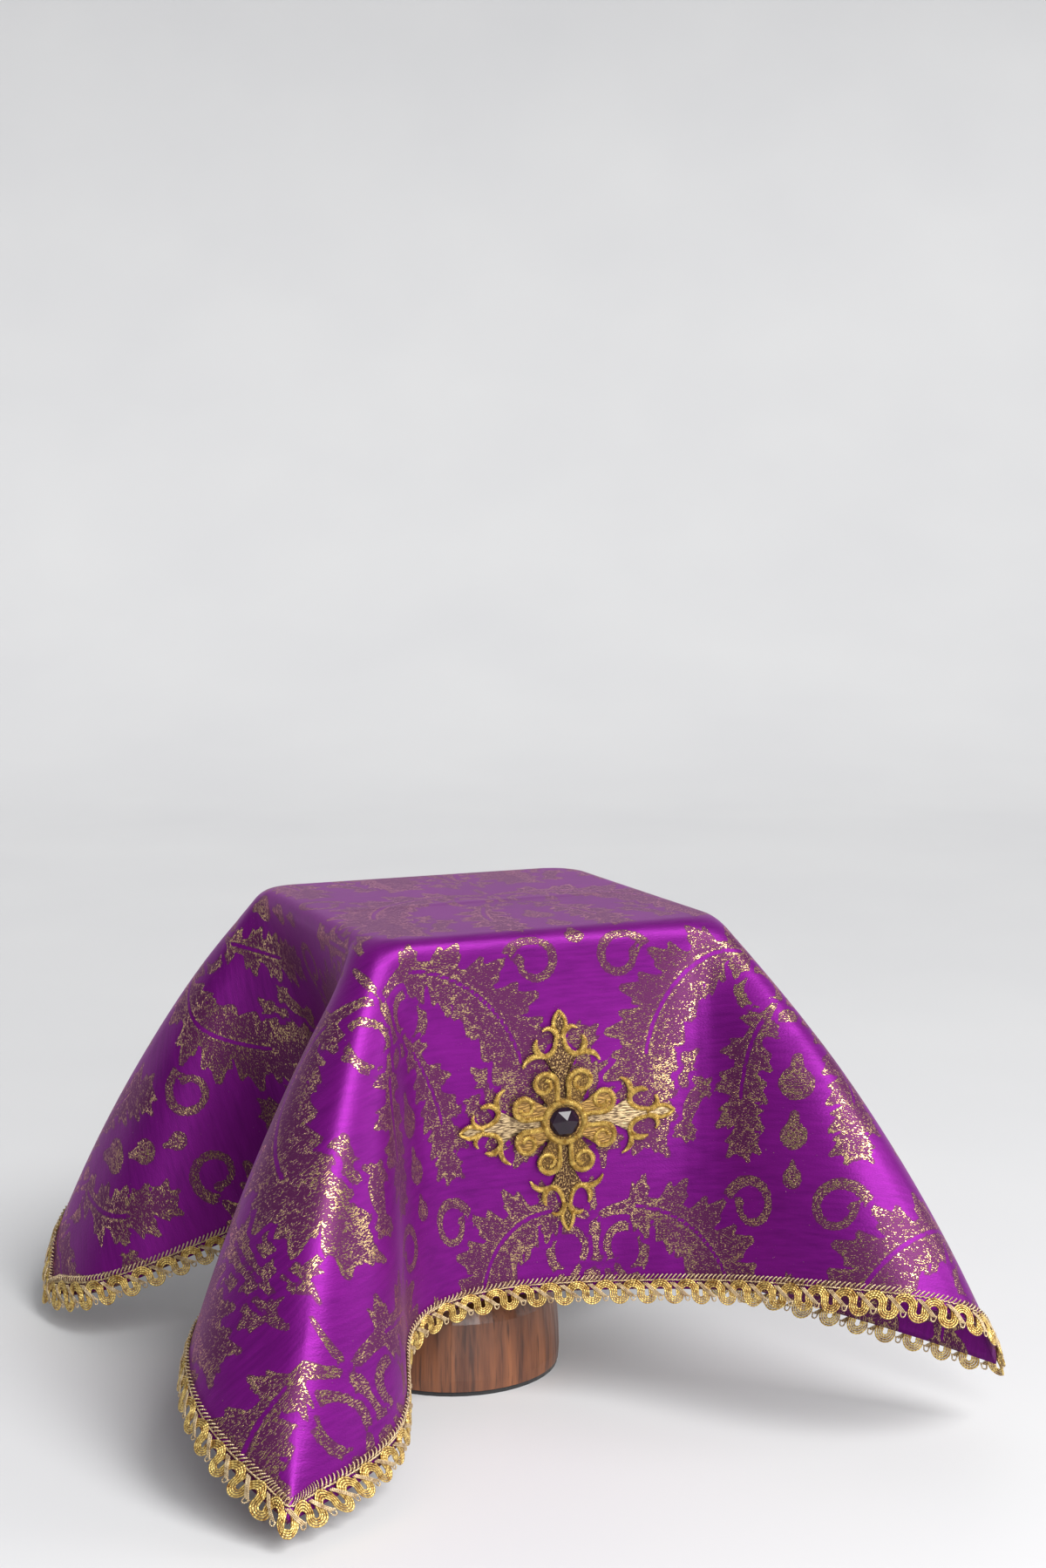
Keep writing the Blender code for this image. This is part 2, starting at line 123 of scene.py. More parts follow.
def smooth_line(knots, points, places):
    """A natural spline through the points, read at the places along it."""
    spans = np.diff(knots)
    system = np.eye(len(knots))
    right = np.zeros((len(knots), 3))
    for i in range(1, len(knots) - 1):
        system[i, i - 1 : i + 2] = spans[i - 1], 2 * (spans[i - 1] + spans[i]), spans[i]
        after = (points[i + 1] - points[i]) / spans[i]
        right[i] = 6 * (after - (points[i] - points[i - 1]) / spans[i - 1])
    bends = np.linalg.solve(system, right)
    i = np.clip(np.searchsorted(knots, places, side="right") - 1, 0, len(spans) - 1)
    rest = ((places - knots[i]) / spans[i])[:, None]
    left = 1 - rest
    bent = (left**3 - left) * bends[i] + (rest**3 - rest) * bends[i + 1]
    return left * points[i] + rest * points[i + 1] + bent * (spans[i] ** 2)[:, None] / 6


SIDES = list(HEM.values())
PLACES = np.linspace(0, 1, HEM_STEPS + 1)
HEM_LINES = []
for number, stations in enumerate(SIDES):
    closed = [*stations, SIDES[(number + 1) % 4][0]]
    knots = np.array([s.share for s in stations] + [1.0])
    points = np.array([(s.x, s.y, s.height) for s in closed]) * MM
    HEM_LINES.append(smooth_line(knots, points, PLACES))
HEM_LOOP = np.concatenate([line[:-1] for line in HEM_LINES] + [HEM_LINES[3][-1:]])
soft_loop = HEM_LOOP[:-1].copy()
for corner, steps in enumerate(FOLD_SOFTNESS):
    kernel = np.exp(-0.5 * (np.arange(-3 * steps, 3 * steps + 1) / steps) ** 2)
    kernel /= kernel.sum()
    rolled = np.roll(HEM_LOOP[:-1], 6 * steps - corner * HEM_STEPS, axis=0)[: 12 * steps + 1]
    rounded = np.stack([np.convolve(rolled[:, axis], kernel, mode="valid") for axis in range(3)], axis=1)
    near = np.arange(-3 * steps, 3 * steps + 1)
    weight = np.cos(near / (3 * steps) * math.pi / 2)[:, None] ** 2
    spots = (corner * HEM_STEPS + near) % len(soft_loop)
    soft_loop[spots] += (rounded - soft_loop[spots]) * weight
SOFT_LOOP = np.concatenate([soft_loop, soft_loop[:1]])
hem_lengths = [np.linalg.norm(np.diff(line, axis=0), axis=1).sum() for line in HEM_LINES]
print("hanging hem, mm:", [round(length / MM) for length in hem_lengths])

# %% [markdown]
# ## Draping the square
# Cloth bends but hardly stretches. Outside the board it is close to a ruled surface: straight lines, here
# called rulings, that fan out from the board's rounded edge to the hem. `drape` finds the ruling through
# each flat point and walks down it. At the board's edge the cloth turns over on a short curve, and the
# corner folds swell a little between top and hem. The rulings aim at the rounded hem loop and turn to the
# true one over the last of their length. A simulation would give other folds than the photo's.


# %% Flat point to hanging point
LAST_OF_RULING = 0.16


def hem_at(turn, loop):
    """Points of a hem loop. turn runs from 0 to 4, one for each side."""
    samples = np.arange(len(loop)) / HEM_STEPS
    return np.stack([np.interp(turn, samples, loop[:, axis]) for axis in range(3)], axis=1)


def drape(flat):
    """Where points of the flat square hang, as points of the cloth's outer face."""
    core = TOP_HALF - TOP_CORNER
    start = np.clip(flat, -core, core)
    away = flat - start
    length = np.linalg.norm(away, axis=1)
    outside = length > 1e-7
    out = np.where(outside[:, None], away / np.maximum(length, 1e-7)[:, None], (0.0, -1.0))
    runs = (HALF - start * np.where(out < 0, -1, 1)) / np.maximum(np.abs(out), 1e-9)
    across = np.where(runs[:, 0] < runs[:, 1], 0, 1)
    run_out = runs[np.arange(len(flat)), across]
    meet = start + out * run_out[:, None]
    side = np.where(across == 1, np.where(out[:, 1] < 0, 0, 2), np.where(out[:, 0] > 0, 1, 3))
    place = np.linalg.norm(meet - CORNERS[side], axis=1) / VEIL_SIDE
    hem = hem_at(side + np.clip(place, 0, 1), HEM_LOOP)
    softening = hem_at(side + np.clip(place, 0, 1), SOFT_LOOP) - hem
    level_out = np.column_stack([out, np.zeros(len(flat))])
    edge = np.column_stack([start + out * TOP_CORNER, np.full(len(flat), CREST)]) + TOP_CENTRE
    reach = run_out - TOP_CORNER
    cornering = np.abs(out).min(axis=1) * math.sqrt(2)

    def hanging(run):
        share = (run / reach)[:, None]
        bow = CORNER_BOW * 4 * share * (1 - share) * cornering[:, None]
        hem_here = hem + softening * np.sin(np.clip((1 - share) / LAST_OF_RULING, 0, 1) * math.pi / 2)
        return edge * (1 - share) + hem_here * share + level_out * bow * 0.85 + bow * (0, 0, 0.5)

    run = length - TOP_CORNER
    turn = np.clip((run + SHOULDER) / (2 * SHOULDER), 0, 1)[:, None]
    level = edge - level_out * SHOULDER
    low = hanging(np.full(len(flat), SHOULDER))
    bent = level * (1 - turn) ** 2 + edge * 2 * turn * (1 - turn) + low * turn**2
    on_board = (run <= -SHOULDER)[:, None]
    hung = (run >= SHOULDER)[:, None]
    return np.where(on_board, edge + level_out * run[:, None], np.where(hung, hanging(run), bent))


# %% [markdown]
# ## Creases
# Real brocade keeps soft dents and ridges from folding and from the board's corners. Each row is one
# crease on the flat square, in mm: from one end to the other, its half width, and its height, negative
# for a trough. They fade out at their ends, and they stay clear of the cross. Where a flap turns into a
# corner fold the cloth bends softly, so `eased_drape` averages the drape across that line. `lay` is what
# every later step uses: it gives points of the creased cloth, at any lift, and the cloth's normals.

# %% Creases
Crease = namedtuple("Crease", "name x0 y0 x1 y1 width height")
CREASES = [
    Crease("left of the front flap", -78, -108, -96, -214, 13, -1.5),
    Crease("beside it", -104, -122, -128, -232, 12, 1.1),
    Crease("right of the front flap", 80, -112, 84, -226, 15, -1.4),
    Crease("on the right fold", 122, -150, 168, -236, 16, 1.3),
    Crease("over the front hem", 14, -268, 26, -236, 9, -0.9),
    Crease("over the front hem again", 44, -270, 54, -240, 8, 0.8),
    Crease("in the left tip", -214, -206, -252, -224, 13, -1.5),
    Crease("left flap", -130, 30, -236, 46, 18, -1.6),
    Crease("left flap again", -126, -34, -226, -40, 17, 1.2),
    Crease("back flap", -24, 120, -30, 240, 18, -1.5),
    Crease("back flap again", 40, 122, 52, 232, 16, 1.3),
    Crease("right flap", 124, 20, 232, 26, 17, -1.5),
    Crease("back right ridge", 106, 106, 180, 178, 10, 1.1),
    Crease("back left ridge", -106, 106, -178, 180, 10, 1.1),
    Crease("middle press fold", -92, -3, 92, -3, 3.2, 0.35),
]


def crease_height(flat):
    """How far the creases lift the cloth's face at flat points."""
    height = np.zeros(len(flat))
    for crease in CREASES:
        start = np.array((crease.x0, crease.y0)) * MM
        line = np.array((crease.x1, crease.y1)) * MM - start
        along = np.clip(((flat - start) @ line) / (line @ line), 0, 1)
        off = np.linalg.norm(flat - start - along[:, None] * line, axis=1)
        fade = np.sin(math.pi * np.clip(along, 0.02, 0.98)) ** 0.7
        height += crease.height * MM * fade * np.exp(-((off / (crease.width * MM)) ** 2))
    return height


EASED_WIDTH = 24 * MM
EASED_STEP = 9 * MM
EASED_WEIGHTS = {-2: 0.12, -1: 0.24, 0: 0.28, 1: 0.24, 2: 0.12}


def eased_drape(flat):
    """The drape, averaged across the lines where a flat flap turns into a corner fold."""
    plain = drape(flat)
    eased = plain.copy()
    for axis in (0, 1):
        off_line = np.abs(flat[:, axis]) - (TOP_HALF - TOP_CORNER)
        past_board = np.clip((np.abs(flat[:, 1 - axis]) - TOP_HALF - SHOULDER) / (20 * MM), 0, 1)
        near = np.exp(-((off_line / EASED_WIDTH) ** 2)) * past_board
        picked = near > 0.01
        step = np.eye(2)[axis] * EASED_STEP
        average = sum(weight * drape(flat[picked] + k * step) for k, weight in EASED_WEIGHTS.items())
        eased[picked] += (average - plain[picked]) * near[picked, None]
    return eased


def lay(flat, lift=0.0):
    """Points of the creased cloth's outer face, lifted off it along its normal, and the normals."""
    near = 1.0 * MM
    here, right, top = (eased_drape(flat + step) for step in ((0, 0), (near, 0), (0, near)))
    normal = np.cross(right - here, top - here)
    normal /= np.linalg.norm(normal, axis=1)[:, None]
    return here + normal * (crease_height(flat) + lift)[:, None], normal


# %% [markdown]
# ## The woven figure
# Brocade shows its figure where gold weft threads float over the satin ground. This one is an ordinary
# acanthus pattern, drawn here from a few strokes. From a node on the axis grow a palmette, two crown
# leaves and two plumes that droop, with inner leaves and sprays below them, hooked scrolls beside them and
# a row of buds on the axis. The motif repeats in half drop. A row is one leaf or stroke: where it starts,
# in mm, its heading in degrees, its length, how far it turns and how soon, and how wide it is. A leaf also
# has a number of lobes on each side, and each lobe has three fingers.

# %% The motif, right half
Leaf = namedtuple("Leaf", "name x y heading length turn curl width lobes")
LEAVES = [
    Leaf("crown leaf", 7, 24, 88, 72, -104, 1.5, 26, 5),
    Leaf("palmette", 0, 40, 90, 44, 0, 1.0, 21, 3),
    Leaf("plume", 5, 0, 22, 132, -128, 0.85, 34, 8),
    Leaf("inner leaf", 11, -26, -56, 66, -40, 1.1, 24, 5),
    Leaf("spray", 44, -62, -30, 26, -50, 1.0, 16, 2),
]
Stroke = namedtuple("Stroke", "name x y heading length turn curl thick thin")
STROKES = [
    Stroke("stem", 0, 18, -90, 40, 0, 1.0, 1.6, 4.4),
    Stroke("stem scroll", 2, -30, -20, 76, 350, 1.4, 3.8, 2.0),
    Stroke("plume hook", 74, 2, 66, 66, -345, 1.4, 3.2, 1.9),
    Stroke("bud", 0, -52, -90, 13, 0, 1.0, 2.4, 5.4),
    Stroke("second bud", 0, -79, -90, 11, 0, 1.0, 1.9, 4.4),
    Stroke("last bud", 0, -102, -90, 8, 0, 1.0, 1.4, 3.4),
]
REPEAT_ACROSS = 226.0
REPEAT_DOWN = 250.0
FIRST_NODE = (-104.0, -112.0)

# %% [markdown]
# Each stroke is a chain of capsules, short lines with round ends. The figure is kept as one number at
# each point of the cloth, the distance in mm to the figure's edge, negative inside. A new leaf first cuts
# a thin gap in what lies under it, which keeps neighbouring leaves apart as a weaver's draft does. The
# satin shows through along the middle of the large leaves, as a vein.


# %% Strokes and leaves as capsules
def spine(x, y, heading, length, turn, curl=1.0, steps=14):
    """Points and headings along a bending line."""
    share = np.linspace(0, 1, steps + 1)
    headings = np.radians(heading + turn * share**curl)
    middle = (headings[1:] + headings[:-1]) / 2
    steps_xy = np.column_stack([np.cos(middle), np.sin(middle)]) * length / steps
    return np.concatenate([[(x, y)], (x, y) + np.cumsum(steps_xy, axis=0)]), headings


def capsules_of_stroke(stroke):
    points, _ = spine(stroke.x, stroke.y, stroke.heading, stroke.length, stroke.turn, stroke.curl, 22)
    radii = np.linspace(stroke.thick, stroke.thin, len(points))
    capsules = [(*a, *b, r0, r1) for a, b, r0, r1 in zip(points, points[1:], radii, radii[1:])]
    end = points[-1]
    capsules.append((*end, *end, stroke.thin * 1.55, stroke.thin * 1.55))
    return capsules


def arrow(way):
    return np.array((math.cos(way), math.sin(way)))


def lobe(root, angle, reach, hand):
    """One lobe of a leaf: three full fingers from one root, which curl outward to blunt tips."""
    capsules = []
    for lean, length, thick in ((0.0, 1.0, 0.20), (-0.36, 0.80, 0.155), (0.42, 0.70, 0.155)):
        middle = root + reach * length * 0.58 * arrow(angle + hand * lean * 0.8)
        tip = middle + reach * length * 0.42 * arrow(angle + hand * (lean + 0.34))
        capsules.append((*root, *middle, reach * thick, reach * thick * 1.1))
        capsules.append((*middle, *tip, reach * thick * 1.1, reach * thick * 0.42))
    return capsules


def capsules_of_leaf(leaf):
    points, headings = spine(leaf.x, leaf.y, leaf.heading, leaf.length, leaf.turn, leaf.curl, 20)
    counts = np.arange(len(points))
    radii = leaf.width * (0.07 + 0.19 * np.sin(math.pi * np.linspace(0.0, 0.86, len(points))) ** 1.3)
    capsules = [(*a, *b, r0, r1) for a, b, r0, r1 in zip(points, points[1:], radii, radii[1:])]
    for number in range(leaf.lobes):
        share = 0.13 + 0.83 * number / max(leaf.lobes - 1, 1)
        at = share * counts[-1]
        root = np.array([np.interp(at, counts, points[:, axis]) for axis in (0, 1)])
        heading = np.interp(at, counts, headings)
        reach = leaf.width * (0.28 + 0.54 * math.sin(math.pi * (0.04 + 0.72 * share)))
        for hand in (-1, 1):
            capsules += lobe(root, heading + hand * math.radians(60 - 34 * share), reach, hand)
    return capsules + lobe(points[-1], headings[-1], leaf.width * 0.6, 1 if leaf.turn > 0 else -1)


def mirrored(capsules):
    return [(-x0, y0, -x1, y1, r0, r1) for x0, y0, x1, y1, r0, r1 in capsules]


VEIN_RADII = (1.05, 0.95)
VEINED_LEAF = 20


def capsules_of_vein(leaf):
    """A thin line along the leaf where the satin shows through."""
    points, _ = spine(leaf.x, leaf.y, leaf.heading, leaf.length, leaf.turn, leaf.curl, 20)
    return [(*a, *b, *VEIN_RADII) for a, b in zip(points[3:15], points[4:16])]


MOTIF = []
for stroke in STROKES:
    MOTIF += [(False, capsules_of_stroke(stroke)), (False, mirrored(capsules_of_stroke(stroke)))]
for leaf in LEAVES:
    MOTIF += [(False, capsules_of_leaf(leaf)), (False, mirrored(capsules_of_leaf(leaf)))]
    if leaf.width > VEINED_LEAF:
        MOTIF += [(True, capsules_of_vein(leaf)), (True, mirrored(capsules_of_vein(leaf)))]
print("capsules in the motif:", sum(len(group) for _, group in MOTIF))

# %% [markdown]
# The veil is modelled on an even net of points, 280 steps each way. That is fine enough to carry the
# figure, and it stays a light mesh. Capsules are painted only on the part of the net that they touch.

# %% Paint the figure on the net of the cloth
NET = 280
STEP = VEIL_SIDE / NET
axis_points = (np.arange(NET + 1) * STEP - HALF) / MM
FAR = 3.0
GAP_BETWEEN_LEAVES = 2.3


def window(capsules):
    """Rows and columns of the net within reach of capsules."""
    box = np.array([(min(c[0], c[2]), min(c[1], c[3]), max(c[0], c[2]), max(c[1], c[3])) for c in capsules])
    fat = max(max(c[4], c[5]) for c in capsules) + FAR
    low = np.floor((box[:, :2].min(axis=0) - fat - axis_points[0]) / (STEP / MM)).astype(int)
    high = np.ceil((box[:, 2:].max(axis=0) + fat - axis_points[0]) / (STEP / MM)).astype(int) + 1
    low, high = np.clip(low, 0, NET + 1), np.clip(high, 0, NET + 1)
    return slice(low[1], high[1]), slice(low[0], high[0])


def paint(field, group, is_vein):
    rows, columns = window(group)
    if rows.start >= rows.stop or columns.start >= columns.stop:
        return
    fresh = np.full_like(field, FAR)
    for x0, y0, x1, y1, r0, r1 in group:
        r, c = window([(x0, y0, x1, y1, r0, r1)])
        px, py = np.meshgrid(axis_points[c] - x0, axis_points[r] - y0)
        dx, dy = x1 - x0, y1 - y0
        along = np.clip((px * dx + py * dy) / max(dx * dx + dy * dy, 1e-9), 0, 1)
        distance = np.hypot(px - along * dx, py - along * dy) - (r0 + (r1 - r0) * along)
        fresh[r, c] = np.minimum(fresh[r, c], distance)
    if is_vein:
        field[rows, columns] = np.maximum(field[rows, columns], -fresh[rows, columns])
        return
    old = np.maximum(field[rows, columns], GAP_BETWEEN_LEAVES - fresh[rows, columns])
    field[rows, columns] = np.minimum(old, fresh[rows, columns])


nodes = []
for row in range(-2, 5):
    for column in range(-2, 4):
        for drop in (0, 0.5):
            x = FIRST_NODE[0] + REPEAT_ACROSS * (column + drop)
            y = FIRST_NODE[1] + REPEAT_DOWN * (row + drop)
            if abs(x) < 400 and abs(y) < 400:
                nodes.append((x, y))
figure = np.full((NET + 1, NET + 1), FAR)
for is_vein, group in MOTIF:
    for x, y in nodes:
        paint(figure, [(a + x, b + y, c + x, d + y, e, f) for a, b, c, d, e, f in group], is_vein)
print("share of the cloth that is figure:", round(float((figure < 0).mean()), 2))

# %% [markdown]
# ## Mesh helpers
# A mesh is points and faces. These two helpers make one and give it a material, and put a net of flat
# coordinates on the cloth as its UV map, so that thread patterns follow the weave round every fold.


# %% Helpers for meshes
def make_piece(name, points, faces, material, smooth=True):
    mesh = bpy.data.meshes.new(name)
    mesh.from_pydata(np.asarray(points).tolist(), [], faces)
    mesh.update()
    mesh.materials.append(material)
    if smooth:
        mesh.shade_smooth()
    piece = bpy.data.objects.new(name, mesh)
    bpy.context.scene.collection.objects.link(piece)
    print(name, "faces:", len(mesh.polygons))
    return piece


def add_point_value(mesh, name, values):
    layer = mesh.attributes.new(name, "FLOAT", "POINT")
    layer.data.foreach_set("value", np.asarray(values, dtype=np.float32))


def add_flat_map(mesh, flat):
    """A UV map of the flat cloth, in metres from its corner."""
    layer = mesh.uv_layers.new(name="cloth")
    corners = np.empty(len(mesh.loops), dtype=np.int32)
    mesh.loops.foreach_get("vertex_index", corners)
    layer.data.foreach_set("uv", (flat[corners] + HALF).astype(np.float32).ravel())


# %% Helpers for node trees
def add_node(tree, kind, inputs=None, **settings):
    """A node with its settings and inputs. An input is a plain value or another node's socket."""
    node = tree.nodes.new(kind)
    for key, value in settings.items():
        setattr(node, key, value)
    for key, value in (inputs or {}).items():
        if isinstance(value, bpy.types.NodeSocket):
            tree.links.new(value, node.inputs[key])
        else:
            node.inputs[key].default_value = value
    return node


def calculate(tree, operation, first, second=0.0):
    return add_node(tree, "ShaderNodeMath", {0: first, 1: second}, operation=operation).outputs[0]


def fade(tree, value, low, high, start=0.0, end=1.0):
    """value from low to high becomes start to end, and stays there outside."""
    inputs = {"Value": value, "From Min": low, "From Max": high, "To Min": start, "To Max": end}
    return add_node(tree, "ShaderNodeMapRange", inputs).outputs["Result"]


def blend_colours(tree, factor, first, second):
    node = add_node(tree, "ShaderNodeMix", {0: factor, 6: first, 7: second}, data_type="RGBA")
    return node.outputs[2]


def noise(tree, vector, scale, detail=2.0, roughness=0.5):
    inputs = {"Vector": vector, "Scale": scale, "Detail": detail, "Roughness": roughness}
    return add_node(tree, "ShaderNodeTexNoise", inputs).outputs[0]


def stretched(tree, vector, scale):
    return add_node(tree, "ShaderNodeMapping", {"Vector": vector, "Scale": scale}).outputs[0]


def new_finish(name, **sockets):
    """A material with a Principled shader whose even values sit on its own sockets."""
    material = bpy.data.materials.new(name)
    material.use_nodes = True
    shader = material.node_tree.nodes["Principled BSDF"]
    for key, value in sockets.items():
        shader.inputs[key.replace("_", " ")].default_value = value
    return material, material.node_tree, shader


def connect(tree, shader, **sockets):
    for key, value in sockets.items():
        tree.links.new(value, shader.inputs[key.replace("_", " ")])


def bump(tree, height, strength, distance):
    inputs = {"Height": height, "Strength": strength, "Distance": distance}
    return add_node(tree, "ShaderNodeBump", inputs).outputs["Normal"]


# %% [markdown]
# ## The brocade
# The ground is a purple satin with a fine, slightly slubby weave. It is made half metallic, which gives it
# coloured highlights and dark valleys. In the figure the satin is broken by metallic weft: short gold
# floats, closest together at the figure's edges, over a dull plum. A few stray floats glint in the ground
# too. Real threads of this weave are thinner than a pixel, so the floats are drawn by a noise stretched
# along the weft.

# %% Brocade material
brocade, tree, shader = new_finish(
    "brocade",
    Sheen_Weight=0.08,
    Sheen_Roughness=0.40,
    Sheen_Tint=(1.0, 0.45, 0.95, 1),
    Specular_Tint=(1.0, 0.45, 0.95, 1),
    Specular_IOR_Level=0.3,
)
weave = add_node(tree, "ShaderNodeUVMap", uv_map="cloth").outputs["UV"]
figure_edge = add_node(tree, "ShaderNodeAttribute", attribute_name="figure").outputs["Fac"]
floats = noise(tree, stretched(tree, weave, (800, 1700, 1)), 1.0, 2.0, 0.6)
clumps = noise(tree, stretched(tree, weave, (260, 400, 1)), 1.0, 2.0, 0.5)
slubs = noise(tree, stretched(tree, weave, (60, 420, 1)), 1.0, 3.0, 0.6)
washes = noise(tree, weave, 22.0, 2.0)

wobble = calculate(tree, "MULTIPLY", calculate(tree, "SUBTRACT", clumps, 0.5), 1.1)
ragged = calculate(tree, "ADD", figure_edge, wobble)
inside = fade(tree, ragged, -0.15, 0.15, 1.0, 0.0)
rim = fade(tree, calculate(tree, "ABSOLUTE", calculate(tree, "ADD", ragged, 0.9)), 0.2, 1.1, 1.0, 0.0)
patches = fade(tree, washes, 0.3, 0.7, 0.03, -0.03)
threshold = calculate(tree, "ADD", fade(tree, inside, 0, 1, 0.70, 0.566), patches)
threshold = calculate(tree, "SUBTRACT", threshold, calculate(tree, "MULTIPLY", rim, 0.05))
fine = calculate(tree, "MULTIPLY", floats, 0.7)
coarse = calculate(tree, "MULTIPLY", clumps, 0.3)
weft = calculate(tree, "ADD", fine, coarse)
gold = fade(tree, calculate(tree, "SUBTRACT", weft, threshold), -0.01, 0.03)

deep_purple = (0.098, 0.0025, 0.115, 1)
purple = (0.150, 0.005, 0.170, 1)
light_purple = (0.184, 0.0065, 0.203, 1)
plum = (0.088, 0.016, 0.066, 1)
weft_gold = (0.45, 0.31, 0.16, 1)
satin = blend_colours(tree, fade(tree, slubs, 0.3, 0.7), deep_purple, purple)
satin = blend_colours(tree, fade(tree, washes, 0.35, 0.65, 0.0, 0.35), satin, light_purple)
cloth_colour = blend_colours(tree, inside, satin, plum)
cloth_colour = blend_colours(tree, gold, cloth_colour, weft_gold)
raised = calculate(tree, "MULTIPLY", gold, 0.6)
relief = calculate(tree, "ADD", calculate(tree, "MULTIPLY", floats, 0.5), raised)
connect(
    tree,
    shader,
    Base_Color=cloth_colour,
    Metallic=fade(tree, gold, 0, 1, 0.46, 0.95),
    Roughness=fade(tree, gold, 0, 1, 0.40, 0.22),
    Normal=bump(tree, relief, 0.7, 0.00035),
)

# %% [markdown]
# ## The veil
# The outer face uses every point of the net. The wrong side uses every second point, which is enough
# where nobody looks closely, and a rim of small faces closes the hem between them. A Solidify modifier
# would also give the sheet its thickness, but with twice the faces.

# %% Veil mesh
SHEET = 1.0 * MM
HALF_NET = NET // 2
flat_axis = axis_points * MM
flat_net = np.stack(np.meshgrid(flat_axis, flat_axis), axis=-1).reshape(-1, 2)
outer, outward = lay(flat_net)
numbers = np.arange((NET + 1) ** 2).reshape(NET + 1, NET + 1)
picked = numbers[::2, ::2]
inner = outer[picked.ravel()] - outward[picked.ravel()] * SHEET
inner_numbers = len(outer) + np.arange(len(inner)).reshape(HALF_NET + 1, HALF_NET + 1)


def net_faces(n):
    return np.stack([n[:-1, :-1], n[:-1, 1:], n[1:, 1:], n[1:, :-1]], axis=-1).reshape(-1, 4)


def round_the_edge(n):
    return np.concatenate([n[0, :-1], n[:-1, -1], n[-1, :0:-1], n[:0:-1, 0]])


outer_rim = round_the_edge(numbers)
inner_rim = round_the_edge(inner_numbers)
veil_faces = net_faces(numbers).tolist() + net_faces(inner_numbers)[:, ::-1].tolist()
for i in range(len(inner_rim)):
    after = (i + 1) % len(inner_rim)
    first, middle, last = outer_rim[2 * i], outer_rim[2 * i + 1], outer_rim[(2 * i + 2) % len(outer_rim)]
    veil_faces.append([int(n) for n in (last, middle, first, inner_rim[i], inner_rim[after])])
veil = make_piece("veil", np.concatenate([outer, inner]), veil_faces, brocade)
add_flat_map(veil.data, np.concatenate([flat_net, flat_net[picked.ravel()]]))
add_point_value(veil.data, "figure", np.concatenate([figure.ravel(), figure.ravel()[picked.ravel()]]))

# %% [markdown]
# ## The braid: cords of one scallop
# The braid is a gimp: bundles of four cords swing down in a scallop and up in an arch half a step on,
# pale threads cross them on the slant, and a close coil runs along the top. Only one step of it is drawn,
# as lines in mm: x along the hem, y up from the cloth's edge, z off the cloth.

# %% Lines of one step
PITCH = 13.6
CORD_RADIUS = 0.45 * MM
THREAD_RADIUS = 0.36 * MM


def arc(x, y, radius, start, end, steps, z, squash=1.0):
    angles = np.radians(np.linspace(start, end, steps + 1))
    return [(x + radius * math.cos(a), y + radius * squash * math.sin(a), z) for a in angles]


def scallop(radius):
    """One cord of a hanging scallop, with its legs running up under the arches."""
    bottom = arc(0, -2.1, radius, 180, 360, 9, 0.95)
    return [(-radius * 0.80, 2.6, 0.8), *bottom, (radius * 0.80, 2.6, 0.8)]


def arch(radius):
    return arc(PITCH / 2, -0.6, radius, -14, 194, 9, 1.35, 1.02)


GOLD_LINES = [scallop(r) for r in (4.55, 3.55, 2.55, 1.55)] + [arch(r) for r in (5.5, 4.5, 3.5, 2.5)]
PALE_LINES = [[(x - 3.2, 3.6, 1.5), (x + 0.6, 0.4, 2.1), (x + 4.6, -3.3, 1.4)] for x in (1.6, 2.5, 3.4)]
eyelet = arc(PITCH / 2, -4.2, 1.05, 170, 370, 5, 1.1)
PALE_LINES.append([(PITCH / 2 - 1.5, -2.6, 1.1), *eyelet, (PITCH / 2 + 1.5, -2.6, 1.1)])
COILS = 6
for turn_number in range(COILS):
    x = turn_number * PITCH / COILS
    PALE_LINES.append([(x - 0.9, 5.1, 0.7), (x - 0.2, 5.9, 1.7), (x + 0.8, 7.0, 1.6), (x + 1.5, 7.5, 0.7)])
    PALE_LINES.append([(x - 0.2, 4.5, 0.9), (x + 0.9, 4.9, 1.5), (x + 2.0, 4.5, 0.9)])

# %% [markdown]
# ## Repeating it with Geometry Nodes
# The tree turns the lines into round cords, puts one copy at every step along a straight line, and ends
# in plain mesh. It has named inputs for the count, the step and the cord's radius. Each cord also keeps
# its own length as an attribute, which the material uses to draw the wrapped metal strip.


# %% Tree for a repeated strip
def new_tree(name, sizes):
    """A geometry tree with a Geometry input and output and named number inputs."""
    tree = bpy.data.node_groups.new(name, "GeometryNodeTree")
    tree.interface.new_socket("Geometry", in_out="INPUT", socket_type="NodeSocketGeometry")
    tree.interface.new_socket("Geometry", in_out="OUTPUT", socket_type="NodeSocketGeometry")
    for size, kind in sizes.items():
        tree.interface.new_socket(size, in_out="INPUT", socket_type=kind)
    return tree, add_node(tree, "NodeGroupInput").outputs


def end_tree(tree, geometry, material):
    whole = add_node(tree, "GeometryNodeRealizeInstances", {0: geometry}).outputs[0]
    finished = add_node(tree, "GeometryNodeSetMaterial", {0: whole, "Material": material}).outputs[0]
    add_node(tree, "NodeGroupOutput", {0: finished})


def keep_length(tree, curve):
    """Stores each cord's own length, in metres, as the attribute run."""
    length = add_node(tree, "GeometryNodeSplineParameter").outputs["Length"]
    inputs = {"Geometry": curve, "Name": "run", "Value": length}
    kept = {"data_type": "FLOAT", "domain": "POINT"}
    return add_node(tree, "GeometryNodeStoreNamedAttribute", inputs, **kept).outputs[0]


def round_cord(tree, curve, radius):
    """A round cord along a curve, with closed ends."""
    section = add_node(tree, "GeometryNodeCurvePrimitiveCircle", {"Resolution": 5, "Radius": radius})
    inputs = {"Curve": keep_length(tree, curve), "Profile Curve": section.outputs[0], "Fill Caps": True}
    return add_node(tree, "GeometryNodeCurveToMesh", inputs).outputs[0]


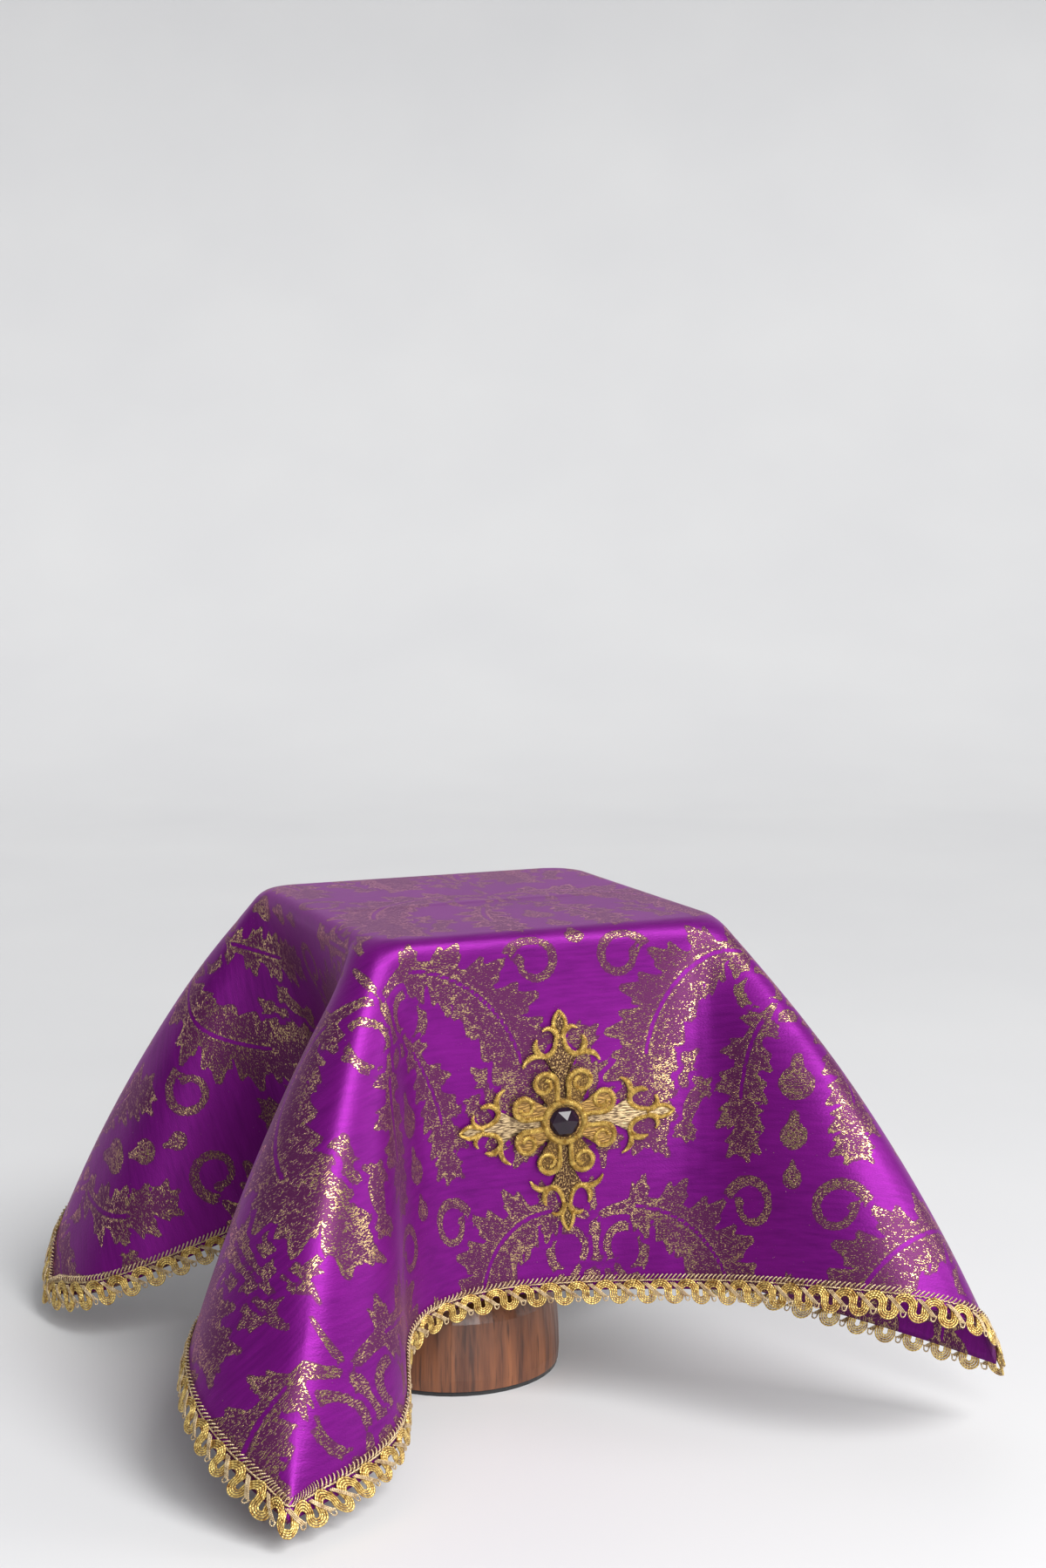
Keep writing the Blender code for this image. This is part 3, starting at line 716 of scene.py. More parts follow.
def strip_tree(name, material):
    sizes = {"Steps": "NodeSocketInt", "Step Length": "NodeSocketFloat", "Cord Radius": "NodeSocketFloat"}
    tree, given = new_tree(name, sizes)
    cords = round_cord(tree, given["Geometry"], given["Cord Radius"])
    offset = add_node(tree, "ShaderNodeCombineXYZ", {"X": given["Step Length"]}).outputs[0]
    line = add_node(tree, "GeometryNodeMeshLine", {"Count": given["Steps"], "Offset": offset}).outputs[0]
    copies = add_node(tree, "GeometryNodeInstanceOnPoints", {"Points": line, "Instance": cords}).outputs[0]
    end_tree(tree, copies, material)
    return tree


def lines_object(name, lines, radii=None):
    """A curve object with one straight-sided spline for each line, in mm, and a radius for each point."""
    curve = bpy.data.curves.new(name, "CURVE")
    curve.dimensions = "3D"
    for number, line in enumerate(lines):
        spline = curve.splines.new("POLY")
        spline.points.add(len(line) - 1)
        for i, (point, place) in enumerate(zip(spline.points, line)):
            point.co = (*[c * MM for c in place], 1)
            point.radius = radii[number][i] if radii else 1.0
    thing = bpy.data.objects.new(name, curve)
    bpy.context.scene.collection.objects.link(thing)
    return thing


def grow(thing, tree, sizes):
    """Runs the tree on a curve object and returns the result's points, faces and run lengths."""
    modifier = thing.modifiers.new("grow", "NODES")
    modifier.node_group = tree
    for item in tree.interface.items_tree:
        if item.in_out == "INPUT" and item.name in sizes:
            modifier[item.identifier] = sizes[item.name]
    evaluated = thing.evaluated_get(bpy.context.evaluated_depsgraph_get())
    mesh = bpy.data.meshes.new_from_object(evaluated)
    bpy.data.objects.remove(thing)
    return mesh


def mesh_points(mesh):
    points = np.empty(len(mesh.vertices) * 3)
    mesh.vertices.foreach_get("co", points)
    return points.reshape(-1, 3)


# %% [markdown]
# ## Sewing the strip on
# The straight strip is bent onto the hanging hem: its x picks a place along the hem, its y goes across
# the cloth's edge, and its z off the cloth. The steps are spread evenly over each hanging side, with a
# scallop at each corner. Near a corner the strip leans, so that both sides meet in a mitre.

# %% Hem places for the strip
counts = [round(length / (PITCH * MM)) for length in hem_lengths]
first_counts = np.concatenate([[0], np.cumsum(counts)])
INWARD = np.array([(0, 1), (-1, 0), (0, -1), (1, 0)])
ALONG = np.array([(1, 0), (0, 1), (-1, 0), (0, -1)])
MITRE = 17 * MM
hem_runs = []
for line in HEM_LINES:
    hem_runs.append(np.concatenate([[0], np.cumsum(np.linalg.norm(np.diff(line, axis=0), axis=1))]))
print("scallops on each side:", counts)


def sew(points):
    """Strip points to points on the hanging cloth."""
    steps = np.mod(points[:, 0] / (PITCH * MM), first_counts[-1])
    side = np.clip(np.searchsorted(first_counts, steps, side="right") - 1, 0, 3)
    share = (steps - first_counts[side]) / np.array(counts)[side]
    place = np.empty(len(points))
    for k in range(4):
        mine = side == k
        place[mine] = np.interp(share[mine] * hem_runs[k][-1], hem_runs[k], PLACES)
    from_first = place * VEIL_SIDE
    lean = np.clip(1 - from_first / MITRE, 0, 1) - np.clip(1 - (VEIL_SIDE - from_first) / MITRE, 0, 1)
    up = points[:, 1] * (1 - 0.29 * np.abs(lean))
    flat = CORNERS[side] + ALONG[side] * (from_first + up * lean)[:, None] + INWARD[side] * up[:, None]
    return lay(flat, points[:, 2])[0]


# %% [markdown]
# ## Metal thread
# The cords are cotton wrapped in a narrow gilt strip. The strip catches the light in tiny steps along the
# cord, so the bump is a wave on the cord's own length. The same wave is painted into the colour, from the
# bright gold to the dark one: painted highlight on each wrap and painted shade between them. A little noise
# darkens it in spots here and there.


# %% Metal thread materials
def metal_thread(name, bright, dark, roughness, wraps_per_metre):
    material, tree, shader = new_finish(name, Metallic=0.68, Roughness=roughness, Anisotropic=0.2)
    run = add_node(tree, "ShaderNodeAttribute", attribute_name="run").outputs["Fac"]
    place = add_node(tree, "ShaderNodeTexCoord").outputs["Object"]
    phase = calculate(tree, "MULTIPLY", run, wraps_per_metre * 2 * math.pi)
    wraps = fade(tree, calculate(tree, "SINE", phase), -1, 1)
    dark_spots = noise(tree, place, 420.0, 3.0, 0.6)
    # Painted light: the colour goes to the dark gold between the wraps as painted shade, and to the bright
    # gold on them as painted highlight; the noise darkens it in spots
    shade = calculate(tree, "MULTIPLY", fade(tree, dark_spots, 0.34, 0.62), fade(tree, wraps, 0, 1, 0.55, 1.0))
    connect(
        tree,
        shader,
        Base_Color=blend_colours(tree, shade, dark, bright),
        Normal=bump(tree, wraps, 0.7, 0.00025),
    )
    return material


gilt_cord = metal_thread("gilt_cord", (1.0, 0.77, 0.26, 1), (0.29, 0.14, 0.03, 1), 0.34, 700)
pale_thread = metal_thread("pale_thread", (0.84, 0.68, 0.42, 1), (0.34, 0.22, 0.11, 1), 0.38, 1500)

# %% Braid pieces
braid_pieces = []
for name, lines, radius, material in (
    ("braid_cords", GOLD_LINES, CORD_RADIUS, gilt_cord),
    ("braid_threads", PALE_LINES, THREAD_RADIUS, pale_thread),
):
    sizes = {"Steps": int(first_counts[-1]), "Step Length": PITCH * MM, "Cord Radius": radius}
    mesh = grow(lines_object(name + "_step", lines), strip_tree(name + "_strip", material), sizes)
    sewn = sew(mesh_points(mesh))
    mesh.vertices.foreach_set("co", sewn.ravel())
    mesh.shade_smooth()
    mesh.update()
    piece = bpy.data.objects.new(name, mesh)
    bpy.context.scene.collection.objects.link(piece)
    braid_pieces.append(piece)
    print(name, "triangles:", sum(len(p.vertices) - 2 for p in mesh.polygons))

# %% [markdown]
# ## The cross: where it sits
# The cross is embroidered on its own and sewn on the front flap, square to the flap's middle. Its drawing
# is in mm from its middle. The cloth there is slightly slanted to the weave, so the drawing's axes are
# turned into flat steps that measure true lengths on the hanging cloth.

# %% The cross's own plane
CROSS_CENTRE = np.array((-4.8, -188.9)) * MM
CROSS_TURN = math.radians(1.5)
CROSS_LIFT = 0.9 * MM
PLATE = 1.2 * MM


def unit(vector):
    return vector / np.linalg.norm(vector)


probe = 20 * MM
right, left, top, bottom = drape(CROSS_CENTRE + np.array(((1, 0), (-1, 0), (0, 1), (0, -1))) * probe)
stretch = np.array([(right - left) / (2 * probe), (top - bottom) / (2 * probe)]).T
cross_normal = unit(np.cross(right - left, top - bottom))
level = unit(right - left)
across = level * math.cos(CROSS_TURN) + np.cross(cross_normal, level) * math.sin(CROSS_TURN)
CROSS_STEPS = np.linalg.pinv(stretch) @ np.array([across, np.cross(cross_normal, across)]).T


def lay_on_flap(points):
    """Drawing points, in metres with z off the cloth, to points on the hanging flap."""
    return lay(CROSS_CENTRE + points[:, :2] @ CROSS_STEPS.T, points[:, 2])[0]


# %% [markdown]
# ## Satin stitch
# The raised edges of the cross are satin stitch over a cord: hundreds of threads laid side by side, each
# arched from one edge of the stroke to the other. The tree resamples each stroke, sets one arched thread
# on every point, turned along the stroke and scaled to its width, and adds the cord beneath.


# %% Tree for satin stitch
STITCH_SLANT = 0.42
CORE_RADIUS = 0.84


def satin_tree(name, material):
    sizes = {"Spacing": "NodeSocketFloat", "Thread Radius": "NodeSocketFloat", "Height": "NodeSocketFloat"}
    tree, given = new_tree(name, sizes)
    inputs = {"Curve": given["Geometry"], "Length": given["Spacing"]}
    stroke = add_node(tree, "GeometryNodeResampleCurve", inputs, mode="LENGTH").outputs[0]
    inputs = {"Resolution": 8, "Radius": 1.0, "Sweep Angle": math.pi}
    half_ring = add_node(tree, "GeometryNodeCurveArc", inputs).outputs[0]
    up = add_node(tree, "ShaderNodeCombineXYZ", {"X": 1.0, "Y": given["Height"], "Z": 1.0}).outputs[0]
    upright = (math.pi / 2, 0, math.pi / 2 - STITCH_SLANT)
    inputs = {"Geometry": half_ring, "Scale": up, "Rotation": upright}
    standing = add_node(tree, "GeometryNodeTransform", inputs).outputs[0]
    arched = round_cord(tree, standing, given["Thread Radius"])
    width = add_node(tree, "GeometryNodeInputRadius").outputs[0]
    seeded = {2: 0.93, 3: 1.07, "Seed": 7}
    uneven = add_node(tree, "FunctionNodeRandomValue", seeded, data_type="FLOAT").outputs[1]
    size = add_node(tree, "ShaderNodeMath", {0: width, 1: uneven}, operation="MULTIPLY").outputs[0]
    tangent = add_node(tree, "GeometryNodeInputTangent").outputs[0]
    turned = add_node(
        tree, "FunctionNodeAlignRotationToVector", {"Vector": tangent}, axis="X", pivot_axis="Z"
    ).outputs[0]
    inputs = {"Points": stroke, "Instance": arched, "Rotation": turned, "Scale": size}
    threads = add_node(tree, "GeometryNodeInstanceOnPoints", inputs).outputs[0]
    section = add_node(tree, "GeometryNodeCurvePrimitiveCircle", {"Resolution": 8, "Radius": CORE_RADIUS})
    inputs = {"Curve": keep_length(tree, stroke), "Profile Curve": section.outputs[0], "Scale": width}
    core = add_node(tree, "GeometryNodeCurveToMesh", inputs | {"Fill Caps": True}).outputs[0]
    both = tree.nodes.new("GeometryNodeJoinGeometry")
    tree.links.new(core, both.inputs[0])
    tree.links.new(threads, both.inputs[0])
    end_tree(tree, both.outputs[0], material)
    return tree


# %% [markdown]
# ## Strokes of the cross
# Each arm ends in a bud with a horn, a cup and a leaf on both sides. One half arm is drawn as four
# strokes, with the half width at each point, then mirrored, and turned to all four arms. STROKE_WIDTH
# thins every stroke a little, so that the cups stay open.

# %% Half an arm
Stitched = namedtuple("Stitched", "name across along half_width")
HALF_ARM = [
    Stitched(
        "bud",
        (1.3, 2.7, 3.0, 1.9, 0.1),
        (43.4, 45.6, 48.0, 51.4, 54.0),
        (1.0, 1.1, 1.15, 1.1, 0.7),
    ),
    Stitched(
        "horn",
        (1.0, 2.0, 3.9, 6.2, 8.1),
        (40.6, 43.4, 45.5, 45.9, 44.6),
        (1.3, 1.35, 1.3, 1.15, 0.6),
    ),
    Stitched(
        "cup",
        (1.5, 1.9, 2.6, 4.4, 7.2, 10.0, 11.6, 11.9, 10.9),
        (43.0, 39.4, 36.0, 33.2, 31.9, 33.0, 35.6, 38.4, 40.8),
        (0.9, 1.15, 1.3, 1.4, 1.4, 1.55, 1.55, 1.35, 0.7),
    ),
    Stitched(
        "leaf",
        (8.2, 11.0, 14.0, 16.8, 18.4),
        (32.2, 32.9, 32.6, 30.8, 28.0),
        (1.3, 1.5, 1.5, 1.25, 0.6),
    ),
]


STROKE_WIDTH = 0.9


def turned_line(across, along, quarter, hand):
    """A half arm's line on one of the four arms, on either hand."""
    x, y = hand * np.array(across), np.array(along)
    angle = -quarter * math.pi / 2
    turned_x = x * math.cos(angle) - y * math.sin(angle)
    turned_y = x * math.sin(angle) + y * math.cos(angle)
    return [(a, b, 0.0) for a, b in zip(turned_x, turned_y)]


def eased(line, widths, times=2):
    """A line with its corners cut, twice, so that a few points give a smooth stroke."""
    points = np.column_stack([np.array(line), widths])
    for _ in range(times):
        quarter_on = points[:-1] * 0.75 + points[1:] * 0.25
        three_on = points[:-1] * 0.25 + points[1:] * 0.75
        middle = np.stack([quarter_on, three_on], axis=1).reshape(-1, 4)
        points = np.concatenate([points[:1], middle[1:-1], points[-1:]])
    return points[:, :3].tolist(), (points[:, 3] * STROKE_WIDTH * MM).tolist()


cross_lines = []
cross_widths = []
for quarter in range(4):
    for hand in (-1, 1):
        for stroke in HALF_ARM:
            line, widths = eased(turned_line(stroke.across, stroke.along, quarter, hand), stroke.half_width)
            cross_lines.append(line)
            cross_widths.append(widths)
print("strokes on the cross:", len(cross_lines))

# %% [markdown]
# ## Rosette and ring
# Eight scrolls stand on the diagonals in pairs, each a stitched cord that leaves the ring, swings round
# its outer side and curls into an eye. A stitched ring holds the stone.

# %% Scroll and ring strokes
SCROLL_DISTANCE = 20.9
SCROLL_SPREAD = math.radians(20)
SCROLL_RADIUS = 6.0
EYE_RADIUS = 2.3
FIRST_DEGREES = -22
LAST_DEGREES = 410
RING_RADIUS = 9.8
RING_WIDTH = 1.25
LOBE_RADIUS = 5.9


def scroll(diagonal, hand):
    """One scroll: out from the ring on the side away from the diagonal, round, and into its eye."""
    angle = diagonal + hand * SCROLL_SPREAD
    outward_way = np.array((math.cos(angle), math.sin(angle)))
    away = hand * np.array((-outward_way[1], outward_way[0]))
    middle = SCROLL_DISTANCE * outward_way
    root_angle = diagonal + hand * math.radians(29)
    root = (RING_RADIUS + 0.6) * np.array((math.cos(root_angle), math.sin(root_angle)))
    line = [(*root, 0.0)]
    widths = [1.15]
    for degrees in range(FIRST_DEGREES, LAST_DEGREES + 1, 18):
        share = (degrees - FIRST_DEGREES) / (LAST_DEGREES - FIRST_DEGREES)
        radius = SCROLL_RADIUS - (SCROLL_RADIUS - EYE_RADIUS) * share**1.1
        turn = math.radians(degrees)
        place = middle + radius * (math.cos(turn) * away + math.sin(turn) * outward_way)
        line.append((*place, 0.25 * math.sin(math.pi * share)))
        widths.append(1.42 - 0.35 * share)
    return line, [w * STROKE_WIDTH * MM for w in widths]


rosette_lines = []
rosette_widths = []
for quarter in range(4):
    for hand in (-1, 1):
        line, widths = scroll(math.pi / 4 + quarter * math.pi / 2, hand)
        rosette_lines.append(line)
        rosette_widths.append(widths)
ring_line = arc(0, 0, RING_RADIUS, 0, 357, 40, 0.5)
rosette_lines.append(ring_line)
rosette_widths.append([RING_WIDTH * MM] * len(ring_line))

# %% [markdown]
# ## Plates under the stitches
# Between the raised strokes the embroidery is flat fill. The cross's plate covers the heart, the base of
# each arm and the inside of its bud, and the rosette's plate covers its eight lobes. Both are thin sheets
# bent with the flap, made as a fine net that is cut to the outline.

# %% Plate outlines
HALF_PLATE_ACROSS = (2.4, 2.7, 4.4, 8.0, 6.6, 3.6, 1.9, 1.4, 2.8, 1.2)
HALF_PLATE_ALONG = (13.0, 19.0, 25.0, 31.2, 32.6, 33.8, 37.6, 42.4, 47.6, 52.4)
HEART = 13.0


def cross_plate_outline():
    outline = []
    for quarter in range(4):
        rising = turned_line(HALF_PLATE_ACROSS, HALF_PLATE_ALONG, quarter, -1)
        falling = turned_line(HALF_PLATE_ACROSS, HALF_PLATE_ALONG, quarter, 1)
        outline += rising + falling[::-1]
        angle = math.pi / 4 - quarter * math.pi / 2
        outline.append((HEART * math.cos(angle), HEART * math.sin(angle), 0))
    return outline


def lobe_reach(angle):
    """How far the rosette's plate reaches at an angle, a little inside its outer cords."""
    reach = 11.6
    for quarter in range(4):
        for hand in (-1, 1):
            middle = math.pi / 4 + quarter * math.pi / 2 + hand * SCROLL_SPREAD
            off = math.remainder(angle - middle, 2 * math.pi)
            inside = LOBE_RADIUS**2 - (SCROLL_DISTANCE * math.sin(off)) ** 2
            if inside > 0 and math.cos(off) > 0:
                reach = max(reach, SCROLL_DISTANCE * math.cos(off) + math.sqrt(inside))
    return reach


def rosette_plate_outline():
    angles = np.radians(np.arange(0, 360, 3))
    return [(lobe_reach(a) * math.cos(a), lobe_reach(a) * math.sin(a), 0) for a in angles]


def plate(name, outline, net_step, base, thickness, material):
    """A flat outline, filled, cut into a net, laid on the flap and given a thickness."""
    flat_curve = lines_object(name + "_outline", [outline])
    flat_curve.data.dimensions = "2D"
    flat_curve.data.fill_mode = "BOTH"
    flat_curve.data.splines[0].use_cyclic_u = True
    mesh = bpy.data.meshes.new_from_object(flat_curve.evaluated_get(bpy.context.evaluated_depsgraph_get()))
    bpy.data.objects.remove(flat_curve)
    shape = bmesh.new()
    shape.from_mesh(mesh)
    bmesh.ops.remove_doubles(shape, verts=shape.verts, dist=0.01 * MM)
    reach = max(abs(c) for point in outline for c in point) * MM
    for axis in (0, 1):
        way = [0, 0, 0]
        way[axis] = 1
        for cut in np.arange(-reach, reach, net_step):
            everything = [*shape.verts, *shape.edges, *shape.faces]
            cutter = {"plane_co": Vector(way) * cut, "plane_no": way, "dist": 0.001 * MM}
            bmesh.ops.bisect_plane(shape, geom=everything, **cutter)
    for face in shape.faces:
        if face.normal.z < 0:
            face.normal_flip()
    drawing = np.array([v.co[:2] for v in shape.verts])
    laid = lay_on_flap(np.column_stack([drawing, np.full(len(drawing), base + thickness)]))
    for vertex, place in zip(shape.verts, laid):
        vertex.co = place
    shape.to_mesh(mesh)
    shape.free()
    mesh.materials.clear()
    mesh.materials.append(material)
    mesh.shade_smooth()
    add_point_value(mesh, "drawn_x", drawing[:, 0] / MM)
    add_point_value(mesh, "drawn_y", drawing[:, 1] / MM)
    piece = bpy.data.objects.new(name, mesh)
    bpy.context.scene.collection.objects.link(piece)
    solid = piece.modifiers.new("Thickness", "SOLIDIFY")
    solid.thickness = thickness
    solid.offset = -1
    print(name, "faces:", len(mesh.polygons))
    return piece


# %% [markdown]
# The flat fill is laid in rows of metal thread. On the side arms the rows are pale and lie along the
# arm. On the upright arms they are broken with dark thread, which gives a speckled brown gold. The
# plate's own drawing coordinates say which arm a point is on.


# %% Fill materials
def flat_fill(name, bright, dark, speckled, roughness):
    material, tree, shader = new_finish(name, Metallic=0.75, Roughness=roughness)
    x = add_node(tree, "ShaderNodeAttribute", attribute_name="drawn_x").outputs["Fac"]
    y = add_node(tree, "ShaderNodeAttribute", attribute_name="drawn_y").outputs["Fac"]
    place = add_node(tree, "ShaderNodeCombineXYZ", {"X": x, "Y": y}).outputs[0]
    rows = noise(tree, stretched(tree, place, (0.30, 1.5, 1)), 1.0, 2.0, 0.5)
    specks = noise(tree, stretched(tree, place, (1.25, 0.85, 1)), 1.0, 3.0, 0.7)
    sideways = calculate(tree, "SUBTRACT", calculate(tree, "ABSOLUTE", x), calculate(tree, "ABSOLUTE", y))
    side_arm = fade(tree, sideways, -2, 2)
    rows_colour = blend_colours(tree, fade(tree, rows, 0.4, 0.6), dark, bright)
    specks_colour = blend_colours(tree, fade(tree, specks, 0.52, 0.62), *speckled)
    height = blend_colours(tree, side_arm, specks, rows)
    connect(
        tree,
        shader,
        Base_Color=blend_colours(tree, side_arm, specks_colour, rows_colour),
        Normal=bump(tree, height, 0.8, 0.0006),
    )
    return material


brown_gold = ((0.055, 0.022, 0.014, 1), (0.62, 0.42, 0.16, 1))
deep_gold = ((0.09, 0.045, 0.014, 1), (0.46, 0.29, 0.08, 1))
arm_fill = flat_fill("arm_fill", (0.50, 0.37, 0.20, 1), (0.10, 0.06, 0.035, 1), brown_gold, 0.42)
lobe_fill = flat_fill("lobe_fill", (0.34, 0.20, 0.055, 1), (0.10, 0.05, 0.015, 1), deep_gold, 0.42)
stitch_gold = metal_thread("stitch_gold", (0.96, 0.72, 0.21, 1), (0.40, 0.22, 0.04, 1), 0.38, 900)

# %% Stitch the cross and the rosette
PLATE_TOP = CROSS_LIFT + 0.5 * MM
ROSETTE_BASE = CROSS_LIFT + PLATE + 0.45 * MM
STITCH_SPACING = 0.86 * MM
STITCH_RADIUS = 0.27


def stitched_piece(name, lines, widths, base, height):
    """Satin stitch over strokes. Height and thread are shares of a stroke's half width."""
    sizes = {"Spacing": STITCH_SPACING, "Thread Radius": STITCH_RADIUS, "Height": height}
    strokes = lines_object(name + "_strokes", lines, widths)
    mesh = grow(strokes, satin_tree(name + "_stitch", stitch_gold), sizes)
    points = mesh_points(mesh)
    points[:, 2] = base + np.maximum(points[:, 2], -0.15 * MM)
    mesh.vertices.foreach_set("co", lay_on_flap(points).ravel())
    mesh.shade_smooth()
    mesh.update()
    piece = bpy.data.objects.new(name, mesh)
    bpy.context.scene.collection.objects.link(piece)
    print(name, "triangles:", sum(len(p.vertices) - 2 for p in mesh.polygons))
    return piece


cross_plate = plate("cross_plate", cross_plate_outline(), 2.5 * MM, CROSS_LIFT, 0.6 * MM, arm_fill)
cross_stitches = stitched_piece("cross_stitches", cross_lines, cross_widths, PLATE_TOP, 0.95)
rosette_plate = plate("rosette_plate", rosette_plate_outline(), 2.5 * MM, ROSETTE_BASE, 0.7 * MM, lobe_fill)
rosette_top = ROSETTE_BASE + 0.5 * MM
rosette_stitches = stitched_piece("rosette_stitches", rosette_lines, rosette_widths, rosette_top, 1.0)

# %% [markdown]
# ## The stone
# A black glass stone in a rose cut: a point near the middle, where six large triangular facets meet, a
# ring of six corners and a girdle of twelve. Sizes are in mm. Each facet is flat shaded, so that one of
# them can catch the light as a bright triangle.

# %% Stone
GIRDLE = 7.4
CROWN = 6.3
SEAT = GIRDLE * 0.97


def ring_of(radius, height, first_angle, corners):
    angles = np.radians(first_angle + np.arange(corners) * 360 / corners)
    return [(radius * math.cos(a), radius * math.sin(a), height) for a in angles]


stone_drawing = [(0.8, 1.3, 4.0), *ring_of(CROWN, 2.6, 0, 6)]
stone_drawing += ring_of(GIRDLE, 1.2, -15, 12) + ring_of(SEAT, 0.1, -15, 12)
stone_faces = []
for i in range(6):
    after = (i + 1) % 6
    low = [7 + (2 * i + k) % 12 for k in range(3)]
    stone_faces += [(0, 1 + i, 1 + after), (1 + i, low[0], low[1])]
    stone_faces += [(1 + i, low[1], 1 + after), (1 + after, low[1], low[2])]
for i in range(12):
    after = (i + 1) % 12
    stone_faces.append((7 + i, 19 + i, 19 + after, 7 + after))
stone_faces.append(tuple(range(30, 18, -1)))
stone_points = np.array(stone_drawing) * MM
seat, seat_normal = lay(CROSS_CENTRE[None, :], np.array([ROSETTE_BASE]))
seat, seat_normal = seat[0], seat_normal[0]
stone_points = (
    seat
    + stone_points[:, :1] * across
    + stone_points[:, 1:2] * np.cross(seat_normal, across)
    + stone_points[:, 2:] * seat_normal
)
glass, tree, shader = new_finish(
    "black_glass", Roughness=0.04, Specular_IOR_Level=0.35, IOR=1.5, Coat_Weight=0.1, Coat_Roughness=0.02
)
depths = noise(tree, add_node(tree, "ShaderNodeTexCoord").outputs["Object"], 160.0)
glass_colour = blend_colours(tree, depths, (0.003, 0.002, 0.004, 1), (0.020, 0.007, 0.018, 1))
connect(tree, shader, Base_Color=glass_colour)
stone = make_piece("cut_stone", stone_points, stone_faces, glass, smooth=False)

# %% [markdown]
# ## The stand
# The foot, stem and board are turned and sawn from one reddish brown wood, stained and waxed. The grain
# runs up the foot. A noise stretched along Z gives the grain, a finer one the pores. The shapes in the
# frame are right, so only their materials change. Under the foot lies a thin black disc with a fine noise
# on it.

# %% Wood and pad
wood, tree, shader = new_finish("stained_wood", Coat_Weight=0.25, Coat_Roughness=0.25)
place = add_node(tree, "ShaderNodeTexCoord").outputs["Object"]
grain = noise(tree, stretched(tree, place, (85, 85, 7)), 1.0, 4.0, 0.6)
pores = noise(tree, stretched(tree, place, (620, 620, 26)), 1.0, 2.0, 0.5)
dark_brown = (0.060, 0.016, 0.007, 1)
red_brown = (0.250, 0.085, 0.030, 1)
brown = blend_colours(tree, fade(tree, grain, 0.34, 0.68), dark_brown, red_brown)
brown = blend_colours(tree, fade(tree, pores, 0.52, 0.72, 0.0, 0.7), brown, (0.028, 0.009, 0.005, 1))
connect(
    tree,
    shader,
    Base_Color=brown,
    Roughness=fade(tree, pores, 0.3, 0.7, 0.36, 0.55),
    Normal=bump(tree, pores, 0.25, 0.0004),
)
# The thin disc under the foot: near black, with a fine noise
disc_finish, tree, shader = new_finish("dark_pad", Sheen_Weight=0.2)
disc_noise = noise(tree, add_node(tree, "ShaderNodeTexCoord").outputs["Object"], 900.0, 3.0, 0.7)
connect(
    tree,
    shader,
    Base_Color=blend_colours(tree, disc_noise, (0.006, 0.006, 0.007, 1), (0.022, 0.021, 0.022, 1)),
    Roughness=fade(tree, disc_noise, 0.3, 0.7, 0.75, 0.95),
    Normal=bump(tree, disc_noise, 0.5, 0.0005),
)
for name, material in (
    ("stand_board", wood),
    ("stand_stem", wood),
    ("stand_foot", wood),
    ("foot_pad", disc_finish),
):
    for material_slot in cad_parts[name].material_slots:
        material_slot.material = material

# %% [markdown]
# ## What stands for what
# Every piece rides on the one body and takes the place of its plain solid.

# %% Ride and replace
PARTS = [
    (veil, "veil_cloth", "brocade"),
    (braid_pieces[0], "braid", "metal_braid"),
    (braid_pieces[1], "braid", "metal_braid"),
    (cross_plate, "cross", "gold_embroidery"),
    (cross_stitches, "cross", "gold_embroidery"),
    (rosette_plate, "rosette", "gold_scrolls"),
    (rosette_stitches, "rosette", "gold_scrolls"),
    (stone, "stone", "cut_stone"),
]
for piece, node, finish_slot in PARTS:
    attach(piece, "root")
    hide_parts(node)

# %% [markdown]
# ## Camera
# The photo was taken from the front left, a little above the veil's top, with a long lens. Half of the
# picture over the veil is empty.

# %% Camera
CAMERA_TURN = math.radians(23.34)
CAMERA_DIP = math.radians(6.51)
camera_data = bpy.data.cameras.new("camera")
camera_data.lens = 51.3
camera_data.sensor_width = 36
camera = bpy.data.objects.new("camera", camera_data)
camera.location = (-0.408, -1.035, 0.4245)
camera.rotation_euler = (math.pi / 2 - CAMERA_DIP, 0, -CAMERA_TURN)
bpy.context.scene.collection.objects.link(camera)
bpy.context.scene.camera = camera

# %% [markdown]
# ## Studio
# A pale floor bends up into a backdrop behind the veil. A tall soft light at the front left draws the
# bright band down the near fold, and a gentler one stands on the right. A broad sun lights the top and
# the floor, and the pale surroundings fill the shade. One small light, a window's share, stands where
# the stone's upper facet mirrors it to the camera.


# %% Lights and floor
def soft_light(name, place, target, size, power):
    data = bpy.data.lights.new(name, "AREA")
    data.shape = "RECTANGLE"
    data.size, data.size_y = size
    data.energy = power
    light = bpy.data.objects.new(name, data)
    light.location = place
    light.rotation_euler = (Vector(target) - Vector(place)).to_track_quat("-Z", "Y").to_euler()
    bpy.context.scene.collection.objects.link(light)


